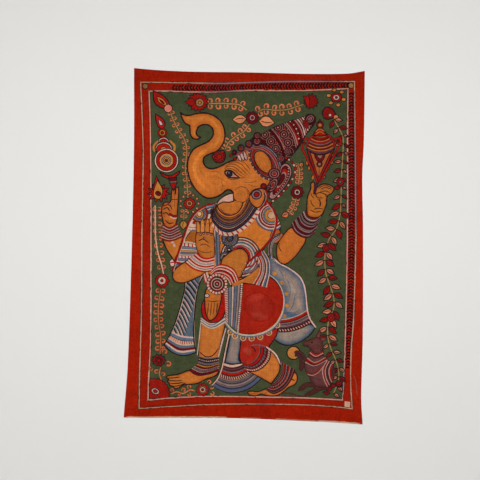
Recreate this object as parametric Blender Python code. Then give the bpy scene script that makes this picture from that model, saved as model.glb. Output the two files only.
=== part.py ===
"""A hand-painted cotton panel, hanging by its two top corners.

It is one sheet of cloth. Metres, +Z up. The origin is the middle of the top edge,
the painted face looks along -Y, and +X is to the right of someone facing it.
"""

import math

import bmesh
import bpy

CLOTH_NAME = "painted_cloth"

# The cloth, as it hangs: about 0.745 m wide and 1.12 m long, cut a little unevenly.
DROP = 1.118
THICKNESS = 0.001
COLUMNS = 36
ROWS = 54

# Side edges. Columns: share of the drop below the top edge, distance from the middle line.
# The left edge flares towards its lower corner, and the right one is drawn in a little.
LEFT_EDGE = (
    (0.00, 0.367),
    (0.20, 0.367),
    (0.40, 0.371),
    (0.60, 0.377),
    (0.85, 0.387),
    (1.00, 0.399),
)
RIGHT_EDGE = (
    (0.00, 0.367),
    (0.20, 0.364),
    (0.30, 0.359),
    (0.45, 0.361),
    (0.75, 0.360),
    (0.93, 0.355),
    (1.00, 0.359),
)

# Top and bottom edges. Columns: share of the width from the left, height above the
# top edge's middle. The top corners are drawn up where the cloth is pinned.
TOP_EDGE = (
    (0.00, 0.0140),
    (0.10, 0.0075),
    (0.25, 0.0025),
    (0.50, 0.0000),
    (0.75, -0.0045),
    (0.93, -0.0035),
    (1.00, 0.0050),
)
BOTTOM_EDGE = (
    (0.00, 0.022),
    (0.30, 0.019),
    (0.55, 0.017),
    (0.80, 0.007),
    (1.00, 0.000),
)

# Soft folds. Columns: x and z of the fold's upper end, x and z of its lower end,
# half width, and how far it stands towards the viewer (negative stands back).
# The two upper ones run in from the pinned corners, and the lower ones go past the hem.
FOLDS = (
    (-0.366, 0.012, -0.120, -0.330, 0.050, 0.0050),
    (0.366, 0.004, 0.130, -0.300, 0.050, 0.0045),
    (-0.020, -0.060, 0.010, -0.620, 0.130, -0.0050),
    (-0.275, -0.380, -0.330, -1.400, 0.060, 0.0065),
    (-0.125, -0.560, -0.150, -1.450, 0.075, -0.0050),
    (0.055, -0.520, 0.040, -1.450, 0.080, 0.0055),
    (0.205, -0.440, 0.245, -1.400, 0.060, -0.0050),
    (0.345, -0.240, 0.352, -1.350, 0.045, 0.0060),
)
FOLD_RISE = 0.35
FOLD_FALL = 0.30
# The lower corners curl forward. Columns: x, z, reach, distance forward.
CURLS = (
    (-0.399, -1.096, 0.150, 0.010),
    (0.359, -1.118, 0.120, 0.006),
)

MADDER_RED = (0.30, 0.018, 0.006, 1.0)
CLOTH_ROUGHNESS = 0.85


def smooth_step(share):
    """0 to 1 with level ends."""
    share = min(1.0, max(0.0, share))
    return share * share * (3.0 - 2.0 * share)


def along_table(table, share):
    """The value at a share along a two-column table, on a smooth curve through its rows."""
    last = len(table) - 1
    row = max(i for i in range(last) if table[i][0] <= share or i == 0)
    here, there = table[row], table[row + 1]
    before, after = table[max(row - 1, 0)], table[min(row + 2, last)]
    span = there[0] - here[0]
    t = (share - here[0]) / span
    slope_in = (there[1] - before[1]) / (there[0] - before[0]) * span
    slope_out = (after[1] - here[1]) / (after[0] - here[0]) * span
    return (
        (2 * t**3 - 3 * t**2 + 1) * here[1]
        + (t**3 - 2 * t**2 + t) * slope_in
        + (3 * t**2 - 2 * t**3) * there[1]
        + (t**3 - t**2) * slope_out
    )


def fold_height(fold, x, z):
    """How far one fold lifts the point (x, z) towards the viewer."""
    x_top, z_top, x_low, z_low, half_width, height = fold
    run_x, run_z = x_low - x_top, z_low - z_top
    length = math.hypot(run_x, run_z)
    along = ((x - x_top) * run_x + (z - z_top) * run_z) / length
    across = ((x - x_top) * run_z - (z - z_top) * run_x) / length
    rise = smooth_step(along / (FOLD_RISE * length))
    fall = smooth_step((length - along) / (FOLD_FALL * length))
    return height * rise * fall * math.exp(-((across / half_width) ** 2))


def curl_height(curl, x, z):
    """How far a curling corner lifts the point (x, z) towards the viewer."""
    x_corner, z_corner, reach, height = curl
    return height * smooth_step(1.0 - math.hypot(x - x_corner, z - z_corner) / reach)


def relief(x, z):
    """How far the cloth at (x, z) stands towards the viewer from its flat plane."""
    folds = sum(fold_height(fold, x, z) for fold in FOLDS)
    return folds + sum(curl_height(curl, x, z) for curl in CURLS)


def cloth_point(u, v):
    """The middle of the cloth's thickness, at shares u from the left and v from the top."""
    x = (u - 1.0) * along_table(LEFT_EDGE, v) + u * along_table(RIGHT_EDGE, v)
    top = along_table(TOP_EDGE, u)
    bottom = along_table(BOTTOM_EDGE, u) - DROP
    z = (1.0 - v) * top + v * bottom
    return (x, relief(0.0, 0.0) - relief(x, z), z)


def dyed_cotton():
    """The finish of the cloth: matt cotton in the madder red of its border."""
    finish = bpy.data.materials.new("dyed_cotton")
    finish.use_nodes = True
    shader = finish.node_tree.nodes["Principled BSDF"]
    shader.inputs["Base Color"].default_value = MADDER_RED
    shader.inputs["Roughness"].default_value = CLOTH_ROUGHNESS
    shader.inputs["Metallic"].default_value = 0.0
    return finish


def painted_cloth():
    """The whole cloth: a grid in its hanging shape, given its thickness by Solidify."""
    mesh = bpy.data.meshes.new(CLOTH_NAME)
    grid = bmesh.new()
    rows = [
        [grid.verts.new(cloth_point(column / COLUMNS, row / ROWS)) for column in range(COLUMNS + 1)]
        for row in range(ROWS + 1)
    ]
    for upper, lower in zip(rows, rows[1:]):
        for column in range(COLUMNS):
            grid.faces.new((lower[column], lower[column + 1], upper[column + 1], upper[column]))
    grid.to_mesh(mesh)
    grid.free()
    mesh.shade_smooth()
    cloth = bpy.data.objects.new(CLOTH_NAME, mesh)
    bpy.context.scene.collection.objects.link(cloth)
    mesh.materials.append(dyed_cotton())
    thickness = cloth.modifiers.new("thickness", "SOLIDIFY")
    thickness.thickness = THICKNESS
    thickness.offset = 0.0
    return cloth


def main():
    for leftover in list(bpy.data.objects):
        bpy.data.objects.remove(leftover)
    painted_cloth()


main()
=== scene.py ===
"""The looks of a hand-painted cotton hanging: the painting, the cloth, the stage.

The painting is a list of flat shapes, each laid over the ones before it, with its pen
lines laid right after it. Places on the cloth are in centimetres: how far right of the
middle line, and how far below the top edge's middle.
"""
import math
import random
from collections import namedtuple

import bpy
import numpy as np
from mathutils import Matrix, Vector
from mathutils.geometry import delaunay_2d_cdt


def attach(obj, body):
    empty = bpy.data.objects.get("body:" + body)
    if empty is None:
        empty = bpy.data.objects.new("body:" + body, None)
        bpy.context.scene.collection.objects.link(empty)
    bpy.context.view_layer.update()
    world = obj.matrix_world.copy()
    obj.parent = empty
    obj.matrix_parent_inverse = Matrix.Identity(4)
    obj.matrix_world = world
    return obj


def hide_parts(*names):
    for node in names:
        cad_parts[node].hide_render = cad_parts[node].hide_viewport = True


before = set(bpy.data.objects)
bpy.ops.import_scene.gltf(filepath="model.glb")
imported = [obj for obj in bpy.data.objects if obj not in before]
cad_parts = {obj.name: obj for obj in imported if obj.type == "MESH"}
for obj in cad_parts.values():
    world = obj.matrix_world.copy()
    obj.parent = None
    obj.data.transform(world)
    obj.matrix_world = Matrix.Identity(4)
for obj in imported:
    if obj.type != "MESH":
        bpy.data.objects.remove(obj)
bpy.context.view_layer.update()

CM = 0.01

# ---------------------------------------------------------------- the drawing tools

# Dyes, as red, green and blue from 0 to 255.
INK = (34, 24, 27)
UMBER = (88, 48, 28)
NAVY = (48, 55, 72)
MADDER = (160, 27, 4)
BAND_RED = (150, 26, 6)
RED = (165, 22, 12)
MAROON = (103, 16, 20)
BELLY_RED = (160, 30, 14)
GREEN = (71, 76, 50)
OCHRE = (190, 122, 52)
SKIN_EDGE = (174, 90, 34)
CORAL = (200, 112, 72)
PINK = (214, 160, 136)
CREAM = (200, 166, 148)
STEEL = (90, 106, 124)
DEEP_BLUE = (66, 88, 112)
GREY = (112, 92, 92)
VIOLET = (96, 58, 64)
MOUSE = (82, 42, 40)
STEM = (176, 122, 74)
WINE = (92, 14, 18)
DEEP_RED = (150, 24, 16)
BRICK = (150, 26, 18)
SHELL = (206, 160, 148)
PLUM = (66, 14, 20)
OX_RED = (92, 20, 20)
DARK_WINE = (84, 14, 18)
WORN_RED = (140, 22, 18)
LAKE_RED = (150, 24, 18)
EARTH_RED = (104, 20, 20)
DARK_ROSE = (80, 30, 34)
DARK_LAKE = (104, 16, 18)
DUSTY_PINK = (188, 140, 128)
SLATE = (96, 98, 114)

# How wide a pen line is, how hard the black pen is pressed, and how closely a curve is followed.
PEN = 0.16
PRESS = 2.4
SLACK = 0.03
CORNER = True
Shape = namedtuple("Shape", "points cells dye inside shade")
painting = []
hand = random.Random(11)


def lay(points, cells, dye, inside=None, shade=None):
    """Lays one shape over what is painted so far, and gives its number."""
    painting.append(Shape(points, cells, dye, inside, shade))
    return len(painting) - 1


def mix(a, b, share):
    """What lies that share of the way from a to b."""
    return tuple(p + (q - p) * share for p, q in zip(a, b))


def turned(x, y, degrees, along, across):
    """The place that lies so far along and across a line which leaves (x, y) at that turn."""
    c, s = math.cos(math.radians(degrees)), math.sin(math.radians(degrees))
    return (x + along * c - across * s, y + along * s + across * c)


def span(before, start, end, after):
    """Points from start up to, not including, end, on the smooth curve through all four."""
    length = math.dist(start[:2], end[:2]) or 1e-6
    leave = [(e - b) * length / (math.dist(before[:2], start[:2]) + length) / 3
             for b, e in zip(before[:2], end[:2])]
    arrive = [(a - s) * length / (math.dist(end[:2], after[:2]) + length) / 3
              for s, a in zip(start[:2], after[:2])]
    handles = (start[:2], [s + v for s, v in zip(start, leave)],
               [e - v for e, v in zip(end, arrive)], end[:2])
    bend = max(math.hypot(*(handles[i][k] - 2 * handles[i + 1][k] + handles[i + 2][k] for k in (0, 1)))
               for i in (0, 1))
    steps = max(1, math.ceil(math.sqrt(0.75 * bend / SLACK)))
    found = []
    for step in range(steps):
        t = step / steps
        share = ((1 - t) ** 3, 3 * t * (1 - t) ** 2, 3 * t * t * (1 - t), t ** 3)
        found.append(tuple(sum(w * h[k] for w, h in zip(share, handles)) for k in (0, 1)))
    return found


def smooth(points, closed=False):
    """The curve through the points given. (x, y, CORNER) makes a sharp turn."""
    n = len(points)
    curve = []
    for i in range(n if closed else n - 1):
        start, end = points[i], points[(i + 1) % n]
        before = points[i - 1] if len(start) == 2 and (closed or i > 0) else start
        after = points[(i + 2) % n] if len(end) == 2 and (closed or i + 2 < n) else end
        curve += span(before, start, end, after)
    return curve if closed else curve + [tuple(points[-1][:2])]


def evenly(curve, count):
    """That many points, evenly spaced along a curve, with the way it runs at each."""
    lengths = [math.dist(p, q) for p, q in zip(curve, curve[1:])]
    total, found, i, passed = sum(lengths), [], 0, 0.0
    for k in range(count):
        goal = total * k / (count - 1)
        while i < len(lengths) - 1 and passed + lengths[i] < goal:
            passed += lengths[i]
            i += 1
        p, q = curve[i], curve[i + 1]
        x, y = mix(p, q, (goal - passed) / (lengths[i] or 1e-6))
        found.append((x, y, (q[0] - p[0]) / (lengths[i] or 1e-6), (q[1] - p[1]) / (lengths[i] or 1e-6)))
    return found


def walk(points, pitch, closed=False):
    """Places one pitch apart along the curve through the points, with its way at each."""
    curve = smooth(points, closed)
    curve = curve + curve[:1] if closed else curve
    length = sum(math.dist(p, q) for p, q in zip(curve, curve[1:]))
    return evenly(curve, max(2, round(length / pitch) + 1))


def pen(points, width=PEN, dye=INK, closed=False, inside=None, ends=0.4, curve=None):
    """A pen stroke along a smooth curve. It is thinner at its open ends, as a pen leaves it."""
    curve = curve or smooth(points, closed)
    width = width * PRESS if dye == INK else width
    n = len(curve)
    sides = ([], [])
    for i, (x, y) in enumerate(curve):
        here = (x, y)
        back = curve[i - 1] if closed or i > 0 else None
        ahead = curve[(i + 1) % n] if closed or i + 1 < n else None
        ways = [(p, q) for p, q in ((back, here), (here, ahead)) if p and q and math.dist(p, q) > 1e-6]
        ways = [((q[0] - p[0]) / math.dist(p, q), (q[1] - p[1]) / math.dist(p, q)) for p, q in ways]
        dx, dy = sum(w[0] for w in ways), sum(w[1] for w in ways)
        reach = math.hypot(dx, dy) or 1.0
        mitre = min(1.6, len(ways) / reach)
        half = width / 2 * mitre * hand.uniform(0.85, 1.15)
        if not closed and i in (0, n - 1):
            half *= ends
        for side, sign in zip(sides, (1, -1)):
            side.append((x - sign * half * dy / reach, y + sign * half * dx / reach))
    cells = [(i, (i + 1) % n, n + (i + 1) % n, n + i) for i in range(n if closed else n - 1)]
    return lay(sides[0] + sides[1], cells, dye, inside)


def fill(points, dye, ink=PEN, inside=None, shade=None, line=INK):
    """A closed shape in one dye, with a pen line round it. shade is (dye, depth): the dye
    that it turns to at that depth inside its edge."""
    curve = smooth(points, closed=True)
    number = lay(curve, [tuple(range(len(curve)))], dye, inside, shade)
    if ink:
        pen(None, ink, line, closed=True, inside=inside, curve=curve)
    return number


def ring(x, y, radius, squash=1.0, turn=0.0, sides=None):
    """The points of a round, or of an oval whose second half width is squash times the first."""
    sides = sides or max(7, round(7 + 4 * radius))
    return [turned(x, y, turn, radius * math.cos(a), radius * squash * math.sin(a))
            for a in (2 * math.pi * k / sides for k in range(sides))]


def disc(x, y, radius, dye, ink=0.12, squash=1.0, turn=0.0, inside=None, line=INK):
    """A round spot of one dye."""
    curve = ring(x, y, radius, squash, turn)
    number = lay(curve, [tuple(range(len(curve)))], dye, inside)
    if ink:
        pen(None, ink, line, closed=True, inside=inside, curve=curve)
    return number


def rings(x, y, stack, ink=0.1, squash=1.0, turn=0.0, inside=None):
    """Rounds inside each other, from the widest, each (radius, dye)."""
    for radius, dye in stack:
        disc(x, y, radius, dye, ink, squash, turn, inside)


def arc(x, y, radius, start, stop, squash=1.0, turn=0.0, steps=7):
    """Points along part of a round, from one angle to another, clockwise as seen."""
    angles = (math.radians(start + (stop - start) * k / (steps - 1)) for k in range(steps))
    return [turned(x, y, turn, radius * math.cos(a), radius * squash * math.sin(a)) for a in angles]


def strips(side_a, side_b, stack, inside=None, steps=16, ink=0.0):
    """Bands laid side by side from one curve to another: (width, dye), or (width, dye,
    dye of its dashes, number of dashes)."""
    a = [p[:2] for p in evenly(smooth(side_a), steps)]
    b = [p[:2] for p in evenly(smooth(side_b), steps)]
    total, passed = sum(band[0] for band in stack), 0.0
    for band in stack:
        edges = []
        for share in (passed / total, (passed + band[0]) / total):
            edges.append([mix(p, q, share) for p, q in zip(a, b)])
        passed += band[0]
        lay(edges[0] + edges[1][::-1], [tuple(range(2 * steps))], band[1], inside)
        if len(band) == 4:
            near, far = (evenly(edge, 3 * band[3] + 1) for edge in edges)
            for k in range(band[3]):
                corners = [near[3 * k + 1][:2], near[3 * k + 2][:2], far[3 * k + 3][:2], far[3 * k + 2][:2]]
                lay([mix(c, mix(corners[0], corners[2], 0.5), 0.04) for c in corners], [(0, 1, 2, 3)],
                    band[2], inside)
        if ink:
            pen(None, ink, INK, inside=inside, curve=edges[1])


def beads(points, radius, pitch, dyes, ink=0.08, closed=False, squash=1.0, inside=None):
    """Small rounds along a curve, in turn in the dyes given."""
    for k, (x, y, dx, dy) in enumerate(walk(points, pitch, closed)):
        turn = math.degrees(math.atan2(dy, dx))
        disc(x, y, radius * hand.uniform(0.9, 1.1), dyes[k % len(dyes)], ink, squash, turn, inside)


def curl(x, y, turn, size, hook=1, dye=CORAL):
    """A comma: a short stalk that rolls round into a full head. hook says which way."""
    middle = turned(x, y, turn, size * 0.62, 0.0)
    line = [turned(*middle, turn + hook * (-150 + 42 * k), size * (0.6 - 0.045 * k), 0.0) for k in range(7)]
    for grow, colour in ((0.08, INK), (0.0, dye)):
        sides = ([], [])
        for i, (px, py) in enumerate(line):
            qx, qy = line[min(i + 1, 6)]
            rx, ry = line[max(i - 1, 0)]
            reach = math.hypot(qx - rx, qy - ry)
            half = size * (0.1 + 0.022 * i) + grow
            for side, sign in zip(sides, (1, -1)):
                side.append((px - sign * half * (qy - ry) / reach, py + sign * half * (qx - rx) / reach))
        lay(sides[0] + sides[1], [(i, i + 1, 8 + i, 7 + i) for i in range(6)], colour)
        disc(*line[-1], size * 0.27 + grow, colour, ink=0)


def vine(points, pitch, size, dye=CORAL, stem=0.3, stem_dye=STEM, sides=(1, -1), both=False):
    """A stem with a comma at each pitch, on one side and then the other, or on both."""
    pen(points, stem, stem_dye, ends=0.7)
    for k, (x, y, dx, dy) in enumerate(walk(points, pitch)[:-1]):
        turn = math.degrees(math.atan2(dy, dx))
        for side in (sides if both else (sides[k % len(sides)],)):
            lean = hand.uniform(-8, 8)
            curl(*turned(x, y, turn, 0.3, side * stem / 2), turn + side * (72 + lean),
                 size * hand.uniform(0.9, 1.1), hook=-side, dye=dye)


def leaf(x, y, turn, length, width, dye, ink=0.12, vein=INK):
    """A pointed leaf that leaves (x, y) at that turn, with its vein."""
    shape = [(0.0, 0.0, CORNER), (0.28, 0.42), (0.6, 0.45), (1.0, 0.08, CORNER), (0.62, -0.42), (0.3, -0.42)]
    fill([turned(x, y, turn, length * p[0], width * p[1]) + p[2:] for p in shape], dye, ink)
    pen([turned(x, y, turn, length * s, width * t) for s, t in ((0.12, 0.0), (0.5, 0.1), (0.8, 0.05))], 0.1,
        vein)


def burst(x, y, inner, outer, spikes, dye, squash=1.0, turn=0.0, ink=0.12, inside=None):
    """A round with a jagged edge of petals."""
    points = []
    for k in range(2 * spikes):
        radius = (inner if k % 2 else outer) * hand.uniform(0.96, 1.04)
        angle = math.pi * k / spikes
        points.append(turned(x, y, turn, radius * math.cos(angle), radius * squash * math.sin(angle)))
        if k % 2:
            points[-1] += (CORNER,)
    return fill(points, dye, ink, inside)


# ---------------------------------------------------------------- the cloth's shape

# The same cloth as the CAD sheet, in metres. Side edges: share of the drop, distance from
# the middle line. Top and bottom edges: share of the width, height above the plain edge.
DROP = 1.118
THICKNESS = 0.001
LEFT_EDGE = ((0.00, 0.367), (0.20, 0.367), (0.40, 0.371), (0.60, 0.377), (0.85, 0.387), (1.00, 0.399))
RIGHT_EDGE = ((0.00, 0.367), (0.20, 0.364), (0.30, 0.359), (0.45, 0.361), (0.75, 0.360), (0.93, 0.355),
              (1.00, 0.359))
TOP_EDGE = ((0.00, 0.0140), (0.10, 0.0075), (0.25, 0.0025), (0.50, 0.0000), (0.75, -0.0045),
            (0.93, -0.0035), (1.00, 0.0050))
BOTTOM_EDGE = ((0.00, 0.022), (0.30, 0.019), (0.55, 0.017), (0.80, 0.007), (1.00, 0.000))
# x and z of a fold's upper end, x and z of its lower end, half width, height.
FOLDS = (
    (-0.366, 0.012, -0.120, -0.330, 0.050, 0.0050),
    (0.366, 0.004, 0.130, -0.300, 0.050, 0.0045),
    (-0.020, -0.060, 0.010, -0.620, 0.130, -0.0050),
    (-0.275, -0.380, -0.330, -1.400, 0.060, 0.0065),
    (-0.125, -0.560, -0.150, -1.450, 0.075, -0.0050),
    (0.055, -0.520, 0.040, -1.450, 0.080, 0.0055),
    (0.205, -0.440, 0.245, -1.400, 0.060, -0.0050),
    (0.345, -0.240, 0.352, -1.350, 0.045, 0.0060),
)
FOLD_RISE = 0.35
FOLD_FALL = 0.30
# x and z of a corner, how far its curl reaches, how far forward it comes.
CURLS = (
    (-0.399, -1.096, 0.150, 0.010),
    (0.359, -1.118, 0.120, 0.006),
)


def smooth_step(share):
    """0 below 0, 1 above 1, and an even turn between them."""
    share = np.clip(share, 0.0, 1.0)
    return share * share * (3.0 - 2.0 * share)


def along_table(table, share):
    """The value at a share, on the smooth line through a two-column table."""
    last = len(table) - 1
    row = max(i for i in range(last) if table[i][0] <= share or i == 0)
    here, there = table[row], table[row + 1]
    before, after = table[max(row - 1, 0)], table[min(row + 2, last)]
    width = there[0] - here[0]
    t = (share - here[0]) / width
    slope_in = (there[1] - before[1]) / (there[0] - before[0]) * width
    slope_out = (after[1] - here[1]) / (after[0] - here[0]) * width
    return ((2 * t ** 3 - 3 * t ** 2 + 1) * here[1] + (t ** 3 - 2 * t ** 2 + t) * slope_in
            + (3 * t ** 2 - 2 * t ** 3) * there[1] + (t ** 3 - t ** 2) * slope_out)


def cloth_place(u, v):
    """Where the cloth is, in centimetres, at a share u across and v down."""
    x = (u - 1.0) * along_table(LEFT_EDGE, v) + u * along_table(RIGHT_EDGE, v)
    z = (1.0 - v) * along_table(TOP_EDGE, u) + v * (along_table(BOTTOM_EDGE, u) - DROP)
    return (x / CM, -z / CM)


def cloth_edge(step=0.015):
    """The cloth's outline, once round, clockwise as seen from the painted side."""
    across = [k * step for k in range(round(1 / step))]
    down = [k * step * 2 / 3 for k in range(round(1.5 / step))]
    return ([cloth_place(u, 0.0) for u in across] + [cloth_place(1.0, v) for v in down]
            + [cloth_place(1.0 - u, 1.0) for u in across] + [cloth_place(0.0, 1.0 - v) for v in down])


# ---------------------------------------------------------------- the painting


def paint_border():
    """Madder margin, two pale lines with a band between them, and the green ground."""
    edge = cloth_edge()
    lay(edge, [tuple(range(len(edge)))], MADDER)
    outer = ((-34.6, 3.1, CORNER), (-27, 3.2), (-20, 3.3), (-10, 3.5), (-5, 3.4), (2, 3.1), (12, 2.9),
             (24, 2.9), (33.4, 2.9, CORNER), (33.5, 12), (33.7, 28), (33.8, 52), (33.4, 70), (33.0, 80),
             (32.3, 89), (32.2, 99), (32.6, 106.9, CORNER), (29, 106.5), (20, 105.9), (10, 105.5), (0, 105.4),
             (-10, 105.6), (-20, 106.0), (-35.0, 106.7, CORNER), (-34.9, 96), (-34.3, 76), (-34.2, 52),
             (-33.9, 36), (-33.8, 24), (-34.2, 12))
    inner = ((-31.9, 6.0, CORNER), (-26, 5.95), (-19, 6.2), (-10, 6.2), (0, 5.7), (12, 5.8), (22, 5.6),
             (31.3, 5.2, CORNER), (31.2, 20), (31.2, 45), (31.0, 62), (30.6, 80), (30.3, 91), (29.9, 100),
             (29.6, 104.2, CORNER), (24, 103.9), (14, 103.4), (0, 103.1), (-13, 103.1), (-23, 103.4),
             (-32.2, 104.1, CORNER), (-32.0, 97), (-31.5, 88), (-31.3, 74), (-31.3, 45), (-31.4, 28),
             (-31.6, 14))
    fill(outer, BAND_RED, ink=0)
    ground = fill(inner, GREEN, ink=0)
    top = ((-24, 4.9), (-15, 4.9), (-5, 4.9), (5, 4.4), (18, 4.3), (32.2, 4.1))
    chevrons(top, 0.92, 0.95)
    chevrons(((32.4, 7), (32.5, 22), (32.5, 40), (32.4, 60), (31.8, 80), (31.2, 94)), 0.95, 1.0)
    for x, y, radius in ((-33.1, 4.4, 0.9), (32.3, 4.2, 0.9)):
        disc(x, y, radius, (150, 108, 66), ink=0.1)
    fill([turned(31.1, 105.5, 5, *c) + (CORNER,) for c in ((-0.9, -0.9), (0.9, -0.8), (0.9, 0.9),
                                                           (-0.8, 0.8))],
         PINK, ink=0)
    pale_line(outer, 0.36)
    pale_line(inner, 0.42)
    # Stretches where the pale lines have taken up some of the black.
    for points, width in ((((-14, 3.45), (-8, 3.5), (0, 3.2), (12, 2.9), (30, 2.9)), 0.42),
                          (((-16, 6.2), (-8, 6.1), (-1, 5.75)), 0.36),
                          (((33.45, 6), (33.65, 26), (33.8, 44), (33.75, 53)), 0.4),
                          (((30.2, 93), (29.8, 101), (29.65, 104)), 0.3),
                          (((2, 105.4), (5, 105.45), (8, 105.5)), 0.34)):
        pen(points, width, (136, 112, 116))
    # The strip that the dye left bare along the foot.
    foot = [cloth_place(u / 90, 1.0) for u in range(91)]
    for first, last, width, dye in ((1, 20, 0.42, (208, 150, 122)), (17, 40, 0.32, (216, 168, 142)),
                                    (44, 53, 0.24, (196, 116, 88)), (57, 74, 0.3, (200, 128, 100)),
                                    (73, 90, 0.46, (214, 160, 134))):
        line = [(x, y - 0.25 + hand.uniform(-0.06, 0.06)) for x, y in foot[first:last]]
        pen(None, width, dye, curve=line, ends=0.3)
    # A paler stroke in the margin by the lower right corner: painted highlight along the crease where that
    # corner curls forward.
    pen(((33.2, 96), (33.9, 99), (34.2, 103)), 0.4, (160, 66, 50), ends=0.2)
    return ground


def pale_line(points, width):
    """A line left undyed, as wide as a brush of wax draws it, with the dye crept over it here and there."""
    pen(points, width + 0.34, (70, 22, 20), closed=True)
    pen(points, width, (200, 144, 122), closed=True)
    for x, y, dx, dy in walk(points, 1.7, closed=True):
        turn = math.degrees(math.atan2(dy, dx))
        if hand.random() < 0.6:
            side = hand.choice((-1, 1)) * width * hand.uniform(0.35, 0.6)
            reach = hand.uniform(0.3, 1.0)
            dye = hand.choice(((70, 22, 20), (104, 44, 36), (150, 104, 96), (172, 84, 58)))
            line = [turned(x, y, turn, -reach, side), turned(x, y, turn, 0.0, side * 0.6),
                    turned(x, y, turn, reach, side)]
            pen(None, width * hand.uniform(0.3, 0.6), dye, curve=line, ends=0.1)


def chevrons(points, pitch, half):
    """Two rows of short slanted pen marks, like an ear of wheat."""
    for x, y, dx, dy in walk(points, pitch):
        turn = math.degrees(math.atan2(dy, dx))
        for side in (1, -1):
            tip = turned(x, y, turn, -0.4 + hand.uniform(-0.1, 0.1), side * half * 0.03)
            end = turned(x, y, turn, 0.3 + hand.uniform(-0.1, 0.1), side * half * hand.uniform(0.8, 1.1))
            pen(None, 0.5 * hand.uniform(0.8, 1.2), (30, 10, 14), curve=[tip, end], ends=1.0)


def paint_top_garden():
    """The flowers, buds and vines above and beside the dancer's head."""
    # The bud in the upper left corner, and the vine below it.
    vine(((-25.1, 12.6), (-24.2, 15.2), (-22.5, 18.4), (-20.7, 21.3), (-19.9, 24.4), (-20.1, 27.4),
          (-20.4, 31.0), (-19.9, 34.2), (-19.6, 39.8)), 2.05, 0.86, both=True)
    fill(((-30.6, 5.9, CORNER), (-28.3, 6.8), (-26.2, 8.6), (-25.4, 10.6), (-26.8, 11.5), (-28.8, 10.9),
          (-30.3, 9.3)), RED)
    fill(((-29.4, 7.6, CORNER), (-27.4, 8.6), (-26.1, 10.6), (-27.6, 10.3), (-28.9, 9.3)), OCHRE, 0.1)
    fill(((-28.9, 8.3, CORNER), (-27.6, 9.0), (-26.9, 10.2), (-27.9, 9.9)), MAROON, 0)
    disc(-25.8, 11.5, 1.35, (200, 116, 96))
    flower(-19.1, 41.7, 1.75, ((1.0, OCHRE), (0.45, RED)), RED, dots=11)
    vine(((-20.8, 43.6), (-20.9, 47.0)), 1.6, 0.8, both=True)
    leaf(-20.9, 47.0, 92, 3.0, 2.4, OCHRE)
    # The flame flower at the left.
    burst(-28.9, 38.2, 2.0, 3.1, 11, RED, squash=1.15, turn=-90)
    fill(((-29.6, 32.8, CORNER), (-28.5, 35.5), (-27.5, 37.2), (-30.8, 37.2), (-30.2, 35.2)), RED)
    fill(((-29.2, 34.3, CORNER), (-27.6, 37.6), (-28.6, 40.2), (-30.2, 39.8), (-30.4, 37.4)), OCHRE, 0.1)
    disc(-29.0, 38.5, 0.95, MAROON, 0.1, squash=0.75, turn=25)
    # The large flower over the trunk, and the vine to the middle flower.
    vine(((-13.0, 10.0), (-9.5, 9.8), (-6.0, 10.0), (-3.2, 10.3), (-0.8, 12.0)), 2.4, 1.4, both=True)
    burst(-16.4, 9.4, 2.7, 3.4, 15, RED, squash=0.88, turn=8)
    fill(((-20.6, 9.4, CORNER), (-18.4, 8.2), (-17.2, 9.5), (-18.4, 10.6)), RED, 0.1)
    disc(-15.8, 9.6, 1.35, (160, 112, 72))
    disc(-15.8, 9.6, 0.5, OCHRE, 0.1)
    vine(((2.6, 12.6), (4.6, 11.7), (8.2, 12.0), (12.2, 11.8), (14.6, 11.0), (17.2, 10.2)), 2.5, 1.4,
         both=True)
    vine(((-7.7, 24.4), (-6.6, 22.2), (-4.2, 20.2), (-1.8, 18.8), (0.2, 16.2)), 2.3, 1.3, both=True)
    leaf(-0.9, 14.6, 172, 4.6, 3.0, (212, 130, 88))
    leaf(2.9, 15.4, 4, 5.2, 3.6, (212, 130, 88))
    flower(0.9, 14.4, 1.95, ((0.95, (176, 140, 140)), (0.45, RED)), MAROON, dots=0)
    burst(19.6, 9.2, 1.8, 2.4, 12, (128, 18, 14), turn=10)
    fill(((17.0, 7.6, CORNER), (18.8, 7.7), (19.2, 9.8), (18.6, 11.8, CORNER), (17.9, 9.6)), RED, 0.1)
    fill(((-11.9, 26.6), (-10.6, 25.2), (-8.2, 24.9), (-7.7, 26.6), (-8.3, 28.3), (-10.6, 28.6)), RED)
    burst(-9.6, 26.8, 1.3, 2.0, 9, (140, 24, 16), ink=0.1)
    disc(-9.6, 26.8, 0.8, RED, 0.1)
    # The upper right corner.
    for k in range(6):
        disc(*turned(27.6, 8.0, 60 * k + 15, 2.45, 0.0), 0.75, (196, 118, 56), 0.1, squash=0.8)
    rings(27.6, 8.0, ((1.75, RED), (1.05, CREAM), (0.42, RED)), squash=0.85)
    fill(((23.2, 12.6), (24.4, 11.1), (26.2, 11.6), (27.3, 13.6), (25.6, 14.8), (23.8, 14.6)), (134, 20, 18))
    disc(25.6, 13.6, 0.5, CREAM, 0.08)
    disc(27.5, 14.3, 0.85, CORAL, 0.1)
    # The short vine behind the head.
    vine(((15.6, 29.0), (15.9, 32.0), (15.6, 35.8)), 1.5, 0.9, both=True)
    vine(((14.9, 39.8), (14.0, 43.0), (12.4, 45.2)), 1.6, 0.9, both=True)
    leaf(12.6, 44.8, 155, 2.6, 2.0, CORAL)
    flower(15.2, 38.1, 1.95, ((0.95, CREAM), (0.45, MAROON)), MAROON, dots=0)
    leaf(16.0, 30.2, -60, 2.0, 1.4, (196, 122, 66))


def flower(x, y, radius, stack, dye, dots=0):
    """A round flower: a ring of short petals, then rings inside each other."""
    if dots:
        for k in range(dots):
            disc(*turned(x, y, 360 * k / dots, radius * 1.65, 0.0), radius * 0.25, CORAL, 0.08)
    burst(x, y, radius * 0.92, radius * 1.08, 9, dye, ink=0.1)
    rings(x, y, stack)


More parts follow.
